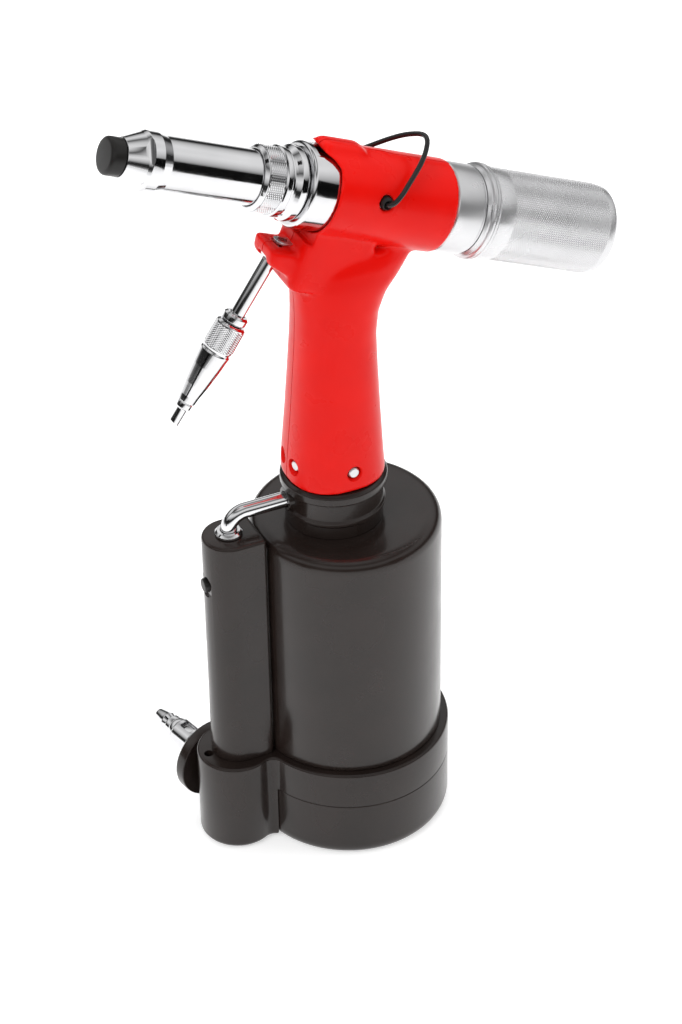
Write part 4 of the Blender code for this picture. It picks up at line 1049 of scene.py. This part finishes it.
@dataclass
class Trigger:
    """The trigger lever: rod, collar, knurled grip and hollow tip, along its own axis."""

    bore: float = 3.5
    cover: float = -26.7
    hole: float = -13.4

    def build(self) -> None:
        """Build and dress the lever's pieces and the plate over its slot."""
        place = PLACES.lever()
        bore = self.bore
        eye_place = placed(PLACES.pivot, Y_AXIS, Z_AXIS)
        eye = turned("trigger_eye", [(2.1, -3.7, 0.3), (4.2, -3.7, 0.5), (4.2, 3.7, 0.5), (2.1, 3.7, 0.3)],
                     eye_place, SMALL)
        shaft = rod("trigger_shaft", 3.2, 3.4, 54, place, TINY, 0.3)
        shown(merged("trigger_rod_skin", eye, shaft), MIRROR, "trigger", "trigger_rod")
        collar = turned("trigger_collar_skin",
                        [(bore, 30.5), (4.6, 30.5, 0.3), (5.6, 31.5, 0.2), (5.6, 33.9, 0.3),
                         (4.8, 34.7, 0.2), (bore, 34.7)], place, SMALL)
        shown(collar, MIRROR, "trigger", "trigger_collar")
        start = turned("grip_start",
                       [(bore, 35), (5.6, 35, 0.2), (6.7, 35.9, 0.3), (6.7, 36.3), (bore, 36.3)], place)
        band = knurled("grip_band", 6.9, 36.3, 47.3, bore, 0.9, 0.22, place)
        taper = turned("grip_taper",
                       [(bore, 47.3), (6.75, 47.3, 0.2), (6.4, 48.4, 0.3), (6.4, 48.9, 0.2),
                        (6.9, 49.6, 0.5), (6.3, 57, 8), (5.2, 66, 8), (4.2, 72, 4), (4, 75, 0.4), (0, 75),
                        (0, 54.3), (bore, 54.3)], place)
        shown(merged("trigger_grip_skin", start, band, taper), MIRROR, "trigger", "trigger_grip")
        tip = turned("trigger_tip_skin",
                     [(0, 75.3), (3.0, 75.3), (3.4, 75.8, 0.2), (3.4, 77.9, 0.3), (2.3, 78.7, 0.3),
                      (2.2, 88.3, 0.2), (1.5, 88.3, 0.2), (1.5, 80.0), (0, 80.0)], place, TINY, closed=False)
        slant = placed(place @ (Z_AXIS * 86.2 * MM), Vector((-1.07, 0, -0.8)), Y_AXIS)
        combine(tip, Cut.AWAY, box("tip_slant", (-8, -8, 0), (8, 8, 8), slant))
        shown(smooth(tip), MIRROR, "trigger", "trigger_tip")
        corners = [(-17.4, -3.2, 3.0), (-4.0, -3.2, 3.0), (-4.0, 3.2, 3.0), (-17.4, 3.2, 3.0)]
        seat = placed(PLACES.in_head(0, self.cover), PLACES.up, PLACES.along)
        cover = plate("trigger_plate_skin", rounded(corners, True, 8), 0, 1.2, seat, 0.3)
        spot = placed(PLACES.in_head(self.hole, self.cover), PLACES.up, PLACES.along)
        hole = rod("plate_hole", 2.0, -3, 3, spot)
        combine(cover, Cut.AWAY, hole)
        shown(smooth(cover), BRIGHT, "tool_body", "trigger_plate")


@dataclass
class Bail:
    """The wire bail over the barrel, which turns in grommets."""

    s: float = 16.0
    r: float = 5.4
    lean: float = math.radians(52.5)
    radius: float = 1.1
    route: Sequence[Point] = ((0, 17.8), (0, 20.3), (0.9, 21.6), (3.2, 22.2), (7.5, 20.9), (12, 18.4),
                              (17, 15.6), (21.5, 12.7), (25.3, 9.6), (28.2, 6.4), (30.3, 3.2), (31.1, 0))

    def build(self) -> None:
        """Bend the wire through its route and dress it."""
        half = [(t, y) for t, y in self.route]
        whole = half + [(t, -y) for t, y in half[-2::-1]]
        spots = [PLACES.in_head(self.s + t * math.cos(self.lean), self.r + t * math.sin(self.lean), y) / MM
                 for t, y in whole]
        piece = wire("bail_wire_skin", curved(spots, 5), self.radius, 20)
        shown(piece, WIRE, "bail", "bail_wire")


def curved(points: Sequence[Vector], count: int) -> list[Vector]:
    """Run a smooth curve through points, with count steps from each to the next."""
    result = []
    for index in range(len(points) - 1):
        before = points[max(index - 1, 0)]
        here = points[index]
        after = points[index + 1]
        beyond = points[min(index + 2, len(points) - 1)]
        for step in range(count):
            t = step / count
            result.append(0.5 * (2 * here + (after - before) * t
                                 + (2 * before - 5 * here + 4 * after - beyond) * t ** 2
                                 + (3 * here - before - 3 * after + beyond) * t ** 3))
    result.append(points[-1])
    return result


# ---------------------------------------------------------------- studio

@dataclass
class Studio:
    """The pale floor, the soft lights with their black cards, and the camera."""

    turn: float = math.radians(-24.0)
    height: float = math.radians(36.2)
    roll: float = math.radians(-0.96)
    lens: float = 70.73
    place: Point = (-0.4462, -0.9975, 0.9648)

    def build(self) -> None:
        """Lay the floor, hang the lights and set the camera."""
        self.floor()
        self.lights()
        self.cards()
        self.camera()

    def floor(self) -> None:
        """Lay a wide pale floor that fades into the surroundings."""
        bpy.ops.object.select_all(action="DESELECT")
        bpy.ops.mesh.primitive_plane_add(size=24.0, location=(0, 0, -0.0003))
        plane = bpy.context.object
        plane.name = "studio_floor"
        sheet = Sheet("pale_floor")
        sheet.set(Base_Color=(0.86, 0.86, 0.86, 1.0), Roughness=0.85, Specular_IOR_Level=0.1,
                  Emission_Color=(1.0, 1.0, 1.0, 1.0), Emission_Strength=0.5)
        plane.data.materials.append(sheet.material)
        world = bpy.data.worlds.new("white_surround")
        world.use_nodes = True
        self.surround(world.node_tree)
        bpy.context.scene.world = world
        bpy.context.scene.view_settings.view_transform = "Standard"

    def surround(self, tree: bpy.types.NodeTree) -> None:
        """Band the surroundings by height: dark low down, bright above, grey overhead."""
        split = tree.nodes.new("ShaderNodeSeparateXYZ")
        ramp = tree.nodes.new("ShaderNodeValToRGB")
        tree.links.new(tree.nodes.new("ShaderNodeTexCoord").outputs["Generated"], split.inputs["Vector"])
        tree.links.new(split.outputs["Z"], ramp.inputs["Fac"])
        background = tree.nodes["Background"]
        tree.links.new(ramp.outputs["Color"], background.inputs["Color"])
        steps = ((0.0, 0.30), (0.10, 0.03), (0.26, 0.02), (0.40, 0.55), (0.60, 1.0), (0.72, 0.75),
                 (0.84, 0.10), (1.0, 0.22))
        for number, (height, level) in enumerate(steps):
            stop = ramp.color_ramp.elements[0] if number == 0 else ramp.color_ramp.elements.new(height)
            stop.position = height
            stop.color = (level, level, level, 1.0)
        last = ramp.color_ramp.elements[len(steps)]
        ramp.color_ramp.elements.remove(last)

    def lamp(self, name: str, spot: Point, size: Point, power: float, glossy: bool = False) -> None:
        """Hang one soft rectangular light that looks at the tool's middle."""
        bpy.ops.object.light_add(type="AREA", location=spot)
        lamp = bpy.context.object
        lamp.name = name
        lamp.data.shape = "RECTANGLE"
        lamp.data.size = size[0]
        lamp.data.size_y = size[1]
        lamp.data.energy = power
        aim = Vector((0.0, 0.0, 0.18)) - Vector(spot)
        lamp.rotation_euler = aim.to_track_quat("-Z", "Y").to_euler()
        lamp.visible_glossy = glossy

    def lights(self) -> None:
        """Hang the key, the fill and the top light."""
        self.lamp("key_light", (-1.3, -0.7, 1.4), (0.9, 1.3), 12.5)
        self.lamp("fill_light", (1.4, -0.9, 0.8), (0.6, 1.5), 7.5)
        self.lamp("top_light", (0.2, 0.5, 1.8), (1.4, 0.9), 14.0)

    def cards(self) -> None:
        """Stand black cards that only reflections see."""
        sheet = Sheet("black_card")
        sheet.set(Base_Color=(0.004, 0.004, 0.004, 1.0), Roughness=1.0, Specular_IOR_Level=0.0)
        spots = (((-0.9, 0.3, 1.25), (0.28, 1.6)), ((0.9, -1.35, 0.35), (0.5, 1.3)),
                 ((-1.6, -0.6, 0.25), (0.4, 1.2)))
        for number, (spot, size) in enumerate(spots):
            bpy.ops.mesh.primitive_plane_add(size=1.0, location=spot)
            card = bpy.context.object
            card.name = f"black_card_{number + 1}"
            card.scale = (size[0], size[1], 1.0)
            aim = Vector((0.0, 0.0, 0.2)) - Vector(spot)
            card.rotation_euler = aim.to_track_quat("Z", "Y").to_euler()
            card.data.materials.append(sheet.material)
            card.visible_camera = False
            card.visible_diffuse = False
            card.visible_shadow = False

    def camera(self) -> None:
        """Set the camera at its place, turned, raised and slightly rolled."""
        a, e = self.turn, self.height
        back = Vector((math.sin(a) * math.cos(e), -math.cos(a) * math.cos(e), math.sin(e)))
        right = Vector((math.cos(a), math.sin(a), 0.0))
        axes = Matrix((right, back.cross(right), back)).transposed()
        bpy.ops.object.camera_add(location=self.place)
        camera = bpy.context.object
        camera.matrix_world = (Matrix.Translation(self.place)
                               @ (axes @ Matrix.Rotation(self.roll, 3, "Z")).to_4x4())
        camera.data.sensor_fit = "VERTICAL"
        camera.data.sensor_height = 24.0
        camera.data.lens = self.lens
        camera.data.clip_end = 50.0
        bpy.context.scene.camera = camera


def dress_inner_pieces() -> None:
    """Give every CAD node that still shows the finish of its own slot."""
    slots = {part["node"]: part["material_slot"] for part in frame["record"]["subparts"]}
    for name, node in frame["nodes"].items():
        if node.hide_render:
            continue
        finish = FINISHES[slots[name]]
        material = bpy.data.materials.get(finish.name) or finish.make()
        node.data.materials.clear()
        node.data.materials.append(material)
        smooth(node, 40.0)


def main() -> None:
    """Build the riveter piece by piece, dress it and light it."""
    logging.basicConfig(level=logging.INFO)
    for assembly in (Base(), Inlet(), AirCylinder(), Neck(), Head(), Rear(), Handle(), Trigger(), Bail()):
        assembly.build()
        LOG.info("%s is built", type(assembly).__name__)
    dress_inner_pieces()
    Studio().build()


if __name__ == "__main__":
    main()
